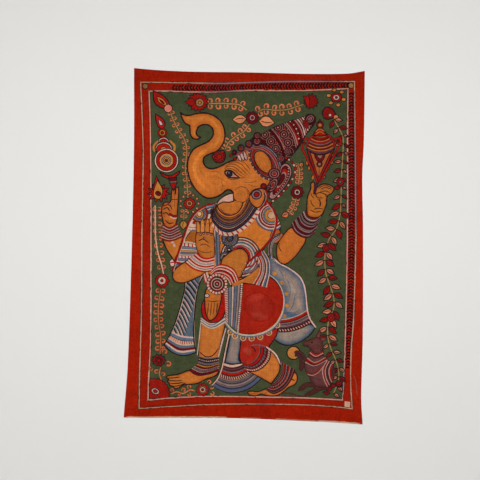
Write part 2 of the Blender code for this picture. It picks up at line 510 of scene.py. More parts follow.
def paint_left_garden():
    """The long stem down the left, its paired commas and its flowers."""
    orange = (194, 102, 62)
    vine(((-29.3, 43.0), (-29.2, 50.0), (-28.6, 57.0), (-27.8, 63.8)), 2.3, 1.2, dye=orange, stem=0.12,
         stem_dye=GREEN,
         both=True)
    pen(((-30.0, 42.3), (-29.95, 47.7), (-29.8, 53.0), (-29.0, 57.7), (-27.9, 61.2), (-27.3, 64.2)), 0.42,
        (214, 156, 128), ends=0.8)
    vine(((-28.2, 69.0), (-28.9, 74.5), (-28.9, 79.0), (-28.2, 84.0), (-28.4, 89.5)), 2.3, 1.25, dye=orange,
         stem_dye=orange, both=True)
    burst(-27.8, 66.2, 1.95, 2.25, 11, RED, ink=0.1)
    rings(-27.8, 66.2, ((1.3, CREAM), (0.42, RED)))
    pen(((-28.2, 93.6), (-28.6, 96.0), (-27.6, 98.4)), 0.3, orange)
    for x, y, turn, size in ((-27.4, 89.4, -50, 1.4), (-26.6, 92.4, 20, 1.5), (-30.8, 93.8, 150, 1.1),
                             (-28.8, 95.2, 200, 1.2), (-28.0, 96.2, -20, 1.1), (-27.6, 88.2, -120, 1.0)):
        curl(x, y, turn, size, dye=orange)
    burst(-28.8, 91.5, 1.75, 2.25, 10, (128, 26, 18), squash=0.85)
    rings(-28.8, 91.5, ((1.2, EARTH_RED), (0.6, RED)), squash=0.85)
    # The half-open flower in the lower left corner.
    fan = [turned(-30.2, 102.0, angle, 4.9 if k % 2 else 4.45, 0.0) + (() if k % 2 else (CORNER,))
           for k, angle in enumerate(range(-110, 22, 7))]
    corner = fill([(-31.7, 103.7, CORNER)] + fan + [(-25.4, 103.3, CORNER)], (158, 26, 14), 0.1)
    for reach in (3.7, 2.7):
        pen(arc(-30.2, 102.0, reach, -116, 22), 0.1, (112, 16, 14), inside=corner)
    for angle in range(-104, 20, 7):
        pen(None, 0.08, (112, 16, 14), inside=corner,
            curve=[turned(-30.2, 102.0, angle, r, 0.0) for r in (2.0, 4.4)])
    rings(-29.9, 101.3, ((1.35, CREAM), (0.7, RED)), squash=0.7, turn=25)
    # The scroll and the flower under the standing foot.
    pen(((-25.0, 102.3), (-23.2, 101.6), (-21.0, 102.1), (-18.8, 101.0), (-17.4, 101.4)), 0.34, orange)
    for x, y, turn, size in ((-24.6, 101.6, -80, 1.0), (-22.6, 101.9, 60, 0.9), (-21.4, 101.6, -50, 1.2),
                             (-19.4, 101.9, 70, 1.0), (-19.0, 100.7, -100, 1.2)):
        curl(x, y, turn, size, dye=orange)
    for x, y, turn in ((-15.6, 98.8, -70), (-12.6, 100.0, 20), (-12.2, 101.6, 60), (-13.4, 98.9, -30)):
        curl(x, y, turn, 1.15)
    flower(-14.9, 101.0, 1.95, ((1.3, (196, 116, 72)), (0.95, CREAM), (0.42, RED)), RED)


def paint_creeper():
    """The leafy creeper down the right side."""
    stem = ((26.9, 15.2), (28.8, 18.4), (29.8, 21.0), (29.7, 26.0), (29.3, 33.0), (29.1, 41.0), (28.8, 45.4),
            (27.6, 49.8), (25.4, 52.9), (24.5, 55.6), (24.0, 59.0), (24.3, 63.8), (25.6, 67.6), (26.8, 71.4),
            (26.9, 74.6), (25.9, 77.4), (25.0, 80.2), (25.0, 84.4), (26.0, 88.0), (27.3, 91.0), (28.4, 95.0),
            (28.2, 98.6), (26.8, 102.0))
    pen(stem, 0.3, (164, 116, 72), ends=0.8)
    places = walk(stem, 2.75)
    for k, (x, y, dx, dy) in enumerate(places[:-1]):
        turn = math.degrees(math.atan2(dy, dx))
        for side in (1, -1):
            red = (k + (side > 0)) % 2
            size = hand.uniform(3.1, 3.6) * (0.76 if y < 40 or y > 84 else 1.0)
            spread = 62 + hand.uniform(-14, 14)
            if 31.0 - x < 2.0 and side < 0:
                size = min(size, 1.9)
            leaf(*turned(x, y, turn, 0.0, side * 0.2), turn + side * spread, size, size * 0.52,
                 (146, 18, 10) if red else (200, 120, 90), 0.14)
    for x, y, turn, size in ((26.4, 100.2, 150, 2.2), (27.6, 99.8, -10, 2.1), (26.9, 102.2, 30, 2.0),
                             (25.6, 102.2, 190, 2.2)):
        leaf(x, y, turn, size, size * 0.6, (204, 126, 96) if x == 26.9 else (150, 18, 10), 0.12)
    for x, y, radius in ((28.9, 34.8, 1.2), (24.3, 55.9, 1.1), (26.0, 78.0, 1.25), (28.4, 99.0, 0.9)):
        disc(x, y, radius, (140, 20, 16), squash=1.1)
        disc(x, y, radius * 0.4, GREY if y < 40 else RED, 0.08)


SKIN_SHADE = ((194, 108, 44), 1.0)
BRIGHT_SKIN = ((204, 116, 49), 0.9)
BLUE_SHADE = ((156, 130, 118), 3.0)


def paint_far_arm():
    """The arm at the right, its bangles, its hand, and the lamp that it holds up."""
    fill(((8.6, 58.0), (8.8, 55.0), (10.6, 52.0), (13.4, 49.4), (17.9, 52.6), (16.3, 56.3), (14.0, 59.1),
          (11.4, 61.0), (9.4, 60.2)), SKIN_EDGE, shade=SKIN_SHADE)
    pen(((9.5, 54.2), (9.4, 55.6), (10.2, 57.0)), 0.12)
    # The hand, with its first finger up and the others curled round the stem.
    fill(((18.6, 45.4), (18.3, 41.7), (18.6, 39.2), (19.5, 37.0), (19.6, 35.2), (20.6, 34.9), (20.8, 37.4),
          (22.0, 36.2), (23.4, 35.5), (25.6, 35.8), (26.9, 36.9), (26.2, 38.4), (24.8, 39.3), (24.5, 41.9),
          (23.7, 44.0), (22.9, 45.6), (20.8, 46.2)), SKIN_EDGE, shade=SKIN_SHADE)
    for points in (((21.0, 38.8), (22.4, 38.2), (24.6, 38.9)), ((22.6, 37.2), (24.2, 36.6), (26.2, 37.2)),
                   ((22.4, 38.0), (24.0, 37.7), (25.6, 38.2)), ((20.9, 38.0), (21.6, 39.8), (23.4, 39.9)),
                   ((20.5, 43.6), (21.6, 43.2), (23.6, 43.5)), ((22.3, 40.2), (22.5, 41.4), (22.3, 43.0)),
                   ((19.3, 43.7), (20.8, 44.4), (22.8, 44.2))):
        pen(points, 0.12)
    for points in (((22.0, 37.0), (23.0, 36.2), (24.8, 36.1), (26.4, 36.9)),
                   ((23.6, 38.4), (24.6, 39.6), (24.3, 41.0)),
                   ((21.6, 40.2), (22.6, 41.2), (22.6, 42.6)), ((19.4, 40.4), (19.9, 41.9), (20.8, 42.8)),
                   ((19.5, 38.2), (19.9, 39.4), (20.6, 40.0))):
        pen(points, 0.1)
    for x, y in ((22.6, 37.4), (24.2, 37.6), (25.7, 37.7), (23.4, 36.4)):
        pen(((x, y), (x + 0.5, y + 0.5)), 0.26, (104, 74, 84))
    near = ((17.9, 43.6), (18.5, 45.2), (20.0, 46.2), (21.6, 46.1), (23.0, 45.0))
    far = ((13.2, 48.2), (14.3, 50.7), (16.5, 52.3), (18.7, 52.6), (20.9, 50.9))
    strips(near, far, ((0.5, WINE), (0.5, VIOLET), (0.35, CREAM), (0.3, GREY), (0.5, PLUM), (0.7, GREY),
                       (0.4, PLUM), (0.5, (140, 104, 106)), (0.5, WINE), (0.5, PLUM), (0.7, GREY),
                       (0.35, (172, 126, 122)), (0.5, WINE), (0.5, PLUM), (0.5, (140, 104, 106)),
                       (0.5, WINE)), ink=0.07)
    # The lamp: a spire, a domed bowl of many lines, two looped handles and a long pointed foot.
    brass = (178, 102, 46)
    pen(((22.0, 34.2), (21.2, 36.2), (20.6, 38.8)), 0.95, (66, 30, 40), ends=0.7)
    for x, y, turn in ((20.2, 33.4, 100), (23.5, 33.0, 60), (18.4, 28.8, 95), (26.1, 28.4, 80),
                       (19.0, 30.4, 110),
                       (24.9, 30.2, 60), (26.6, 26.6, 80)):
        disc(x, y, 0.85, brass, 0.1, squash=0.6, turn=turn)
    for loop in (((19.4, 21.6), (18.2, 21.2), (16.7, 21.8), (16.6, 23.4), (17.6, 25.8), (19.0, 28.8),
                  (20.4, 31.8),
                  (21.7, 35.0)),
                 ((26.4, 22.2), (27.4, 21.1), (28.9, 21.2), (28.8, 22.8), (27.4, 25.6), (25.7, 28.8),
                  (23.9, 32.0),
                  (22.3, 35.0))):
        pen(loop, 0.85, (44, 18, 22), ends=0.8)
        pen(loop, 0.5, DEEP_RED, ends=0.8)
    disc(28.0, 22.2, 0.5, (120, 20, 18), 0.08)
    disc(17.5, 22.5, 0.45, (120, 20, 18), 0.08)
    foot = fill(((18.2, 24.6, CORNER), (27.0, 24.4, CORNER), (25.0, 29.0), (22.0, 35.0, CORNER),
                 (19.8, 29.4)),
                DEEP_RED)
    fill(((19.3, 25.4, CORNER), (25.9, 25.4, CORNER), (24.2, 28.8), (22.0, 33.6, CORNER), (20.6, 29.4)),
         brass, 0.12)
    fill(((20.6, 25.2, CORNER), (24.2, 25.2, CORNER), (23.9, 27.0), (22.9, 28.4), (21.8, 28.3),
          (20.8, 26.9)), MAROON,
         0.1)
    fill(((21.4, 25.2, CORNER), (23.4, 25.2, CORNER), (23.1, 26.8), (22.4, 27.4), (21.7, 26.8)),
         (160, 110, 96), 0.08)
    rings(22.3, 29.2, ((0.95, MAROON), (0.55, (150, 104, 92))), ink=0.08)
    pen(((22.3, 30.2), (22.1, 32.4), (21.9, 34.2)), 0.3, (92, 30, 34), inside=foot)
    rim = ((18.2, 23.8), (18.9, 21.5), (20.6, 19.9), (22.6, 19.3), (24.8, 19.9), (26.6, 21.7), (27.0, 23.8))
    bowl = fill(rim + ((25.4, 25.4), (22.5, 26.2), (19.7, 25.4)), DEEP_RED, 0.2)
    for k, dye in enumerate(((66, 60, 76), brass, OX_RED, brass, OX_RED, GREY, DEEP_RED, brass,
                             OX_RED, DEEP_RED, brass, OX_RED, DEEP_RED, brass)):
        pen(arc(22.5, 17.6 - 0.1 * k, 7.9 - 0.4 * k, 152, 28), 0.34, dye, inside=bowl)
        pen(arc(22.5, 17.5 - 0.1 * k, 7.7 - 0.4 * k, 152, 28), 0.05, INK, inside=bowl)
    pen(rim, 0.75, (44, 18, 22), ends=0.8)
    pen(rim, 0.44, (160, 26, 16), ends=0.8)
    fill(((20.2, 20.0, CORNER), (21.1, 18.4), (22.3, 17.6), (23.6, 18.4), (24.7, 19.9, CORNER), (22.4, 20.3)),
         DEEP_RED)
    for rise in (0.0, 0.9):
        pen(((21.0, 19.8 - rise), (22.4, 18.9 - rise), (23.8, 19.7 - rise)), 0.3, brass)
    disc(22.4, 16.7, 1.15, DEEP_RED)
    disc(22.4, 16.8, 0.7, brass, 0.1)
    fill(((21.9, 15.9), (22.4, 15.0, CORNER), (22.9, 15.9)), MAROON, 0.1)


def paint_shawl():
    """The blue shawl that swings out behind the dancer, with its banded hem."""
    lobe = fill(((8.2, 82.2), (9.0, 80.6), (13.0, 79.6), (17.5, 79.2), (21.1, 81.0, CORNER), (19.6, 83.2),
                 (17.4, 85.0), (14.8, 86.3), (12.2, 86.8), (9.6, 86.1), (7.8, 84.4)), DEEP_BLUE,
                shade=((156, 134, 126), 2.2))
    cloth = fill(((6.2, 56.8, CORNER), (9.3, 60.3), (12.5, 62.1), (15.9, 64.6), (17.5, 67.4), (18.2, 71.0),
                  (18.5, 75.0), (18.2, 77.4), (12.0, 79.2), (8.6, 80.6), (10.2, 76.0), (10.9, 71.0),
                  (9.0, 67.0),
                  (6.4, 64.0)), DEEP_BLUE, shade=BLUE_SHADE)
    for x, y, radius, squash, turn in ((9.6, 70.6, 3.6, 0.3, 80), (12.6, 77.0, 2.8, 0.3, 5)):
        fill(ring(x, y, radius, squash, turn), (82, 100, 118), 0, inside=cloth, shade=((72, 92, 114), 0.8))
    for x, y, radius, squash, turn in ((13.6, 68.6, 2.6, 0.5, 60), (15.6, 73.4, 2.2, 0.6, 80)):
        fill(ring(x, y, radius, squash, turn), (140, 124, 118), 0, inside=cloth, shade=((178, 146, 128), 1.4))
    for points in (((12.0, 65.6), (13.0, 69.2), (12.4, 73.0)), ((14.6, 70.0), (14.0, 73.6), (12.6, 76.2)),
                   ((9.2, 62.4), (10.6, 64.4), (10.6, 66.6)), ((16.0, 75.6), (13.8, 76.6), (11.6, 77.2))):
        pen(points, 0.3, (92, 104, 120), inside=cloth, ends=0.1)
    top = ((8.9, 78.6), (12.2, 78.2), (15.4, 77.2), (18.5, 75.4))
    low = ((9.2, 82.6), (12.6, 82.5), (16.0, 81.6), (20.3, 79.6))
    strips(top, low, ((0.5, CREAM), (0.9, RED), (0.22, INK), (0.6, (128, 100, 100)), (0.12, INK), (0.5, GREY),
                      (0.3, (176, 140, 132)), (0.6, VIOLET), (0.3, INK), (0.95, (120, 12, 12), CREAM, 13),
                      (0.25, INK)),
           ink=0.08)
    pen(((6.2, 57.6), (9.3, 60.6), (12.5, 62.3), (15.8, 64.8), (17.3, 67.4), (18.0, 71.0), (18.4, 75.2),
         (19.2, 78.3), (21.2, 81.2)), 0.42, (212, 170, 156), ends=0.8)
    for x, y in ((8.0, 64.0), (10.3, 66.9), (11.8, 70.4), (12.0, 74.2), (11.0, 77.5)):
        disc(x, y, 0.85, OCHRE, 0.14, squash=0.8, line=STEEL)
    return lobe


def paint_left_sash():
    """The blue sash end that hangs at the left, lined and hemmed."""
    sash = fill(((-20.0, 65.4), (-20.6, 69.0), (-21.6, 73.0), (-22.8, 77.2), (-24.6, 82.0),
                 (-27.1, 86.6, CORNER),
                 (-25.0, 88.7), (-22.4, 89.9), (-19.8, 90.0), (-17.0, 89.1, CORNER), (-17.5, 86.4),
                 (-17.8, 82.0),
                 (-17.5, 77.0), (-16.9, 71.5), (-15.9, 67.2), (-14.7, 64.2)), (80, 92, 110),
                shade=((96, 104, 118), 1.2))
    for k in range(15):
        x, y = -16.4 - 0.5 * k, 66.2 + 1.4 * k
        drop = 2.0 + 0.22 * k
        line = ((x - 3.8, y - 2.6), (x - 1.6, y - 0.6), (x + 0.5, y + drop))
        pen([(px + 0.34, py - 0.2) for px, py in line], 0.12, INK, inside=sash)
        pen(line, 0.34, (188, 152, 138) if k % 2 or k > 4 else (140, 128, 132), inside=sash, ends=0.8)
        pen([(px - 0.5, py + 0.42) for px, py in line], 0.1, INK, inside=sash)
    for k in range(5):
        pen(((-19.2 + k * 0.8, 65.0 - 0.3 * k), (-16.4 + k * 0.6, 68.6 - 0.6 * k)), 0.24, (60, 66, 78),
            inside=sash)
    for points, width in ((((-20.0, 65.8), (-21.3, 72.4), (-22.7, 77.4), (-24.6, 82.2), (-27.0, 86.6)), 0.4),
                          (((-14.8, 64.4), (-16.0, 67.4), (-17.0, 71.6), (-17.6, 77.0), (-17.7, 83.0),
                            (-17.2, 89.0)), 0.42)):
        pen(points, width, (206, 160, 144), ends=0.8)
    strips(((-24.9, 82.3), (-21.5, 83.7), (-17.7, 84.2)), ((-27.0, 86.8), (-22.6, 89.8), (-17.2, 89.2)),
           ((0.5, CREAM), (0.9, STEEL), (0.2, INK), (1.0, PINK, (140, 20, 16), 12), (0.35, CREAM),
            (0.8, STEEL),
            (0.8, MAROON), (0.6, CREAM), (0.7, STEEL)), inside=sash)
    pen(None, 0.16, INK, curve=painting[sash].points, closed=True)


def foot(points, toes, dye=SKIN_EDGE):
    """A foot, and the pen lines between its toes."""
    number = fill(points, dye, shade=BRIGHT_SKIN)
    for line in toes:
        pen(line, 0.14)
    return number


def paint_legs():
    """The standing leg, the bent leg behind it, their cloths, anklets and feet."""
    # The cloth between the legs: a pale panel, and under it a fan of many hems.
    fan = fill(((-7.9, 92.0, CORNER), (-9.2, 95.8), (-11.9, 99.6, CORNER), (-9.4, 101.0), (-6.0, 101.9),
                (-1.8, 101.2),
                (1.2, 99.6), (4.2, 96.8, CORNER), (0.4, 94.4), (-2.4, 92.0, CORNER), (-5.2, 92.6)), GREY,
               0.18)
    strips(((-7.8, 92.2), (-5.4, 92.7), (-2.4, 92.0)), ((-12.0, 99.6), (-9.4, 101.1), (-6.0, 101.9),
                                                        (-1.8, 101.2),
                                                        (1.2, 99.6), (4.2, 96.8)),
           ((0.35, MAROON), (0.8, (204, 160, 140)), (0.4, DARK_ROSE), (0.4, VIOLET), (0.45, DARK_ROSE),
            (0.45, GREY),
            (0.65, RED), (0.3, DARK_ROSE), (1.0, (110, 52, 50), PINK, 17), (0.5, (128, 106, 102)),
            (0.5, GREY),
            (0.3, (70, 66, 78)), (0.6, (140, 118, 114)), (0.5, GREY), (0.3, NAVY), (1.0, (88, 96, 118))),
           inside=fan, ink=0.08, steps=20)
    fill(((-5.9, 82.6, CORNER), (-2.6, 83.6, CORNER), (-2.9, 87.4), (-3.4, 91.0), (-2.7, 92.5, CORNER),
          (-5.4, 92.8),
          (-7.8, 92.3, CORNER), (-6.9, 88.0)), DEEP_BLUE, shade=((146, 122, 114), 1.2))
    # The standing leg.
    leg = fill(((-15.3, 79.0, CORNER), (-7.6, 79.4, CORNER), (-8.4, 83.6), (-9.4, 87.6), (-9.9, 91.4, CORNER),
                (-16.2, 91.2, CORNER), (-16.2, 87.0), (-15.8, 83.0)), SKIN_EDGE, shade=BRIGHT_SKIN)
    pen(((-9.9, 87.9), (-11.6, 90.0), (-13.8, 90.5), (-15.8, 89.0)), 0.14)
    pen(((-15.4, 79.0), (-15.9, 84.0), (-16.6, 90.0)), 0.3, CREAM, ends=0.8)
    pen(((-7.5, 81.4), (-8.6, 85.4), (-10.0, 91.0)), 0.45, (212, 176, 162), ends=0.8)
    pen(((-6.3, 82.6), (-7.5, 87.8), (-8.7, 93.8), (-10.0, 97.2), (-12.0, 99.6)), 0.5, (214, 162, 144),
        ends=0.8)
    pen(((-6.6, 82.6), (-7.8, 87.8), (-9.0, 93.8), (-10.3, 97.2), (-12.2, 99.5)), 0.12)
    foot(((-10.0, 94.8), (-10.6, 96.4), (-13.8, 97.6), (-16.4, 98.9), (-19.2, 99.3), (-20.9, 99.4),
          (-22.6, 100.4),
          (-23.8, 100.6), (-24.2, 99.9), (-25.4, 99.5), (-25.6, 98.8), (-26.1, 98.2), (-25.7, 97.6),
          (-26.4, 97.1),
          (-26.0, 96.5), (-22.6, 96.0), (-18.8, 94.6), (-15.0, 93.8)),
         [((-26.0, 97.2), (-23.6, 97.1), (-22.0, 96.8)), ((-25.8, 98.0), (-23.2, 98.1), (-21.4, 98.0)),
          ((-25.4, 98.9), (-22.8, 98.9), (-20.9, 98.5)), ((-24.2, 99.9), (-22.0, 99.5), (-20.2, 98.7))])
    strips(((-16.3, 90.2), (-13.2, 90.9), (-9.8, 90.4)), ((-16.4, 92.6), (-13.2, 93.4), (-9.6, 92.6)),
           ((0.4, GREY), (0.35, INK), (0.5, VIOLET, CREAM, 11), (0.3, INK), (0.7, GREY)), ink=0.1)
    strips(((-16.6, 92.8), (-13.4, 93.6), (-9.6, 92.6)), ((-19.2, 94.9), (-16.6, 96.4), (-13.2, 96.1),
                                                          (-9.7, 94.9)),
           ((0.45, OCHRE), (0.6, MAROON), (0.25, CREAM), (0.7, GREY, VIOLET, 13), (0.25, CREAM),
            (0.9, MAROON)),
           ink=0.1)
    strips(((-15.5, 78.0), (-12.0, 79.9), (-7.8, 77.0)), ((-15.6, 79.8), (-12.0, 81.6), (-7.5, 79.6)),
           ((0.3, CREAM), (0.35, STEEL), (0.4, CREAM), (0.35, STEEL), (0.35, CREAM)), ink=0)
    fill(((-14.9, 73.2), (-15.2, 76.0), (-14.4, 78.4), (-12.0, 79.6), (-9.3, 78.9), (-7.8, 76.4),
          (-7.4, 72.0),
          (-8.6, 69.2), (-11.0, 68.6)), RED, 0.14)
    # The bent leg.
    thigh = fill(((-2.3, 84.6), (2.0, 83.4), (6.0, 82.4), (9.0, 81.0, CORNER), (8.6, 83.6),
                  (6.4, 86.8, CORNER),
                  (5.0, 91.0), (1.0, 93.6), (-1.4, 93.2), (-3.0, 91.2), (-3.0, 88.0)), BELLY_RED,
                 shade=((166, 36, 24), 1.6))
    for x, y, radius in ((-0.6, 88.6, 2.0), (3.6, 84.8, 1.5)):
        fill(ring(x, y, radius, 0.85, 30), (163, 32, 18), 0, inside=thigh, shade=((178, 60, 46), 1.5))
    shin = fill(((5.2, 87.4, CORNER), (7.9, 89.6), (9.6, 92.6), (9.4, 95.4), (6.9, 99.0, CORNER), (3.8, 97.2),
                 (-0.4, 95.0, CORNER), (3.4, 92.0)), SKIN_EDGE, shade=BRIGHT_SKIN)
    pen(((5.3, 87.2), (8.2, 89.5), (9.9, 92.8)), 0.4, (214, 176, 164), ends=0.8)
    knee = ((3.2, 86.9), (3.1, 89.2), (1.6, 91.6), (-0.6, 92.6), (-2.6, 91.8))
    cuff = ((6.9, 88.4), (6.3, 91.4), (4.2, 93.9), (1.6, 95.1), (-0.8, 94.9))
    strips(knee, cuff, ((0.35, GREY), (0.15, INK), (0.8, RED), (0.2, MAROON), (0.85, VIOLET, GREY, 11),
                        (0.5, MAROON),
                        (0.75, PINK, MAROON, 16), (0.15, INK)), ink=0.1)
    pen(((0.4, 86.9), (2.0, 86.6), (3.4, 86.7), (5.2, 87.2)), 0.4, GREY)
    pen(((0.4, 87.0), (1.6, 87.9), (1.9, 89.0)), 0.14)
    foot(((14.4, 95.4), (15.3, 97.2), (14.5, 99.2), (12.4, 100.2), (10.6, 101.7), (8.4, 102.8), (5.4, 102.7),
          (3.6, 102.2), (2.2, 102.8), (0.2, 102.6), (-0.6, 101.6), (0.6, 101.3), (2.6, 101.5), (4.8, 100.7),
          (8.0, 99.4), (11.6, 96.4)),
         [((0.4, 102.2), (2.6, 102.1)), ((4.8, 102.4), (5.4, 101.6)), ((12.2, 97.8), (13.6, 97.6),
                                                                       (14.4, 98.2))])
    strips(((9.6, 91.8), (10.2, 94.6), (9.2, 97.0), (6.8, 99.2)), ((14.6, 94.6), (13.2, 98.0), (10.8, 100.8),
                                                                   (7.6, 102.2),
                                                                   (5.2, 101.0)),
           ((0.5, DARK_WINE), (0.35, (166, 124, 118)), (0.5, DARK_WINE), (0.4, GREY), (0.45, RED),
            (0.35, INK),
            (0.7, (150, 112, 108), DARK_WINE, 12), (0.35, INK), (0.55, RED), (0.6, GREY), (0.3, INK),
            (0.6, DARK_LAKE), (0.35, GREY), (0.5, DARK_WINE)), ink=0.06)
    return leg, thigh, shin


def paint_waist():
    """The red belly cloth, its rim and pendants, and the sash in front of it."""
    fill(((-4.8, 64.0), (0.0, 62.0), (3.4, 62.0), (2.6, 66.0), (1.0, 68.4), (-5.4, 68.4)), SKIN_EDGE,
         shade=SKIN_SHADE)
    rim = ((6.0, 64.0), (8.9, 66.4), (10.6, 69.6), (11.1, 73.0), (10.4, 76.6), (8.6, 79.8), (5.6, 82.2),
           (2.0, 83.4),
           (-1.8, 83.5), (-5.0, 82.4), (-7.6, 79.6))
    for x, y in ((-6.0, 82.6), (-4.6, 83.7), (-2.0, 84.4), (0.7, 84.5), (3.4, 84.0), (6.2, 82.7),
                 (8.8, 80.3)):
        disc(x, y, 0.95, (196, 140, 84), 0.14, line=CREAM)
        disc(x, y + 0.1, 0.5, OCHRE, 0.08)
    belly = fill(((6.1, 64.6, CORNER), (9.0, 67.2), (10.6, 70.4), (11.0, 73.4), (10.2, 76.8), (8.2, 80.0),
                  (4.8, 82.4),
                  (0.2, 83.3), (-3.8, 82.8, CORNER), (-3.6, 77.0), (-2.6, 72.0), (-2.2, 67.0, CORNER),
                  (2.4, 67.2)),
                 BELLY_RED, shade=((164, 32, 18), 3.0))
    worn = fill(ring(3.2, 74.6, 5.4, 0.84, 30), (161, 30, 15), 0, inside=belly, shade=((168, 42, 28), 3.6))
    for x, y, radius, squash, turn in ((2.0, 71.6, 2.8, 0.5, -12), (3.0, 77.2, 3.0, 0.55, 14)):
        fill(ring(x, y, radius, squash, turn), (168, 40, 26), 0, inside=worn, shade=((174, 56, 42), 1.6))
    pen(rim, 0.55, CREAM, ends=0.8)
    pen([(x + 0.36 * (x > 0) - 0.1, y + 0.42 * (y > 76)) for x, y in rim], 0.34, STEEL, ends=0.8)
    strips(((-8.0, 68.8), (-7.7, 74.0), (-7.5, 79.4)), ((-2.5, 67.4), (-3.0, 74.0), (-3.8, 82.2)),
           ((1.0, (190, 144, 128), (104, 60, 56), 15), (0.15, INK), (0.8, (104, 112, 124)), (0.12, INK),
            (0.55, CREAM),
            (0.12, INK), (0.8, (92, 98, 112)), (0.12, INK), (0.6, (156, 126, 120)), (0.4, GREY)), ink=0.06,
           steps=10)
    beads(((-2.4, 67.4), (-2.8, 73.0), (-3.2, 77.0), (-3.7, 82.6)), 0.36, 0.66, [(208, 168, 150)], ink=0.05)
    return belly


def paint_torso():
    """Chest, shoulders and the sleeves of bands at both sides."""
    chest = fill(((-11.0, 42.0), (-15.0, 43.2), (-18.2, 46.0), (-20.2, 50.4), (-22.0, 55.6), (-24.0, 61.6),
                  (-20.0, 62.4), (-12.0, 64.6), (-4.6, 66.4), (2.4, 62.0), (4.4, 56.4), (7.4, 52.4),
                  (9.9, 49.6),
                  (8.2, 44.6), (5.4, 41.0), (0.0, 40.0)), SKIN_EDGE, shade=SKIN_SHADE)
    fill(((8.6, 48.6), (9.9, 50.8), (10.8, 51.6), (8.4, 54.4), (6.6, 52.6)), SKIN_EDGE, 0.12)
    # The left sleeve, from the shoulder down to the elbow.
    sleeve = fill(((-10.8, 41.7, CORNER), (-14.0, 42.5), (-17.6, 45.2), (-19.8, 49.4), (-21.4, 54.0),
                   (-23.0, 58.4),
                   (-24.6, 63.0, CORNER), (-20.4, 61.6), (-17.2, 60.2), (-16.4, 56.0), (-16.6, 51.0),
                   (-15.6, 47.6),
                   (-12.6, 46.6, CORNER)), (210, 168, 146), 0.12)
    fill(((-18.7, 50.6), (-16.4, 49.8), (-15.8, 52.6), (-17.4, 54.0), (-20.3, 53.6)), SKIN_EDGE, 0.1,
         inside=sleeve)
    strips(((-11.0, 41.9), (-13.0, 42.5), (-15.6, 43.9)), ((-11.6, 44.6), (-13.2, 45.0), (-14.8, 45.2)),
           ((0.8, STEEL), (0.2, INK), (0.6, CREAM), (0.7, STEEL), (0.5, (96, 84, 96))), inside=sleeve,
           ink=0.1)
    for radius, dye in ((2.75, RED), (2.25, CREAM), (1.9, STEEL), (1.4, OCHRE), (0.8, (206, 160, 130))):
        disc(-15.9, 45.0, radius, dye, 0.1, inside=sleeve)
    disc(-17.6, 47.8, 0.45, RED, 0.08, inside=sleeve)
    for k in range(3):
        pen(((-20.2 + 0.2 * k, 48.9 + 0.5 * k), (-18.0, 49.4 + 0.5 * k), (-16.4, 49.2 + 0.5 * k)), 0.22,
            (STEEL, CREAM, (110, 100, 112))[k], inside=sleeve)
    strips(((-21.0, 53.8), (-19.0, 53.8), (-16.4, 54.6)), ((-24.8, 62.0), (-21.6, 62.4), (-17.2, 61.4)),
           ((0.5, CREAM), (1.0, CREAM, RED, 4), (0.7, STEEL), (0.4, CREAM), (0.6, OCHRE), (0.6, STEEL),
            (0.4, CREAM),
            (0.8, CREAM, RED, 6), (0.7, STEEL), (0.5, CREAM), (0.6, RED), (0.7, STEEL), (0.4, RED)),
           inside=sleeve, ink=0.1)
    # The armlets round the right shoulder.
    for radius, dye in ((5.2, STEEL), (4.8, CREAM), (4.2, BRICK), (3.75, CREAM), (3.3, BRICK),
                        (2.95, CREAM), (2.65, STEEL), (2.2, (188, 112, 50)), (1.2, (196, 146, 118))):
        disc(7.0, 45.4, radius, dye, 0.06, squash=0.97, inside=chest)
    # The loops of cloth round the right elbow.
    for radius, dye in ((6.5, NAVY), (6.2, CREAM), (5.7, BRICK), (5.35, CREAM), (4.9, STEEL), (4.5, CREAM),
                        (3.9, (140, 112, 112)), (3.6, CREAM), (3.2, BRICK)):
        disc(-2.8, 58.8, radius, dye, 0.06, inside=chest)
    return chest


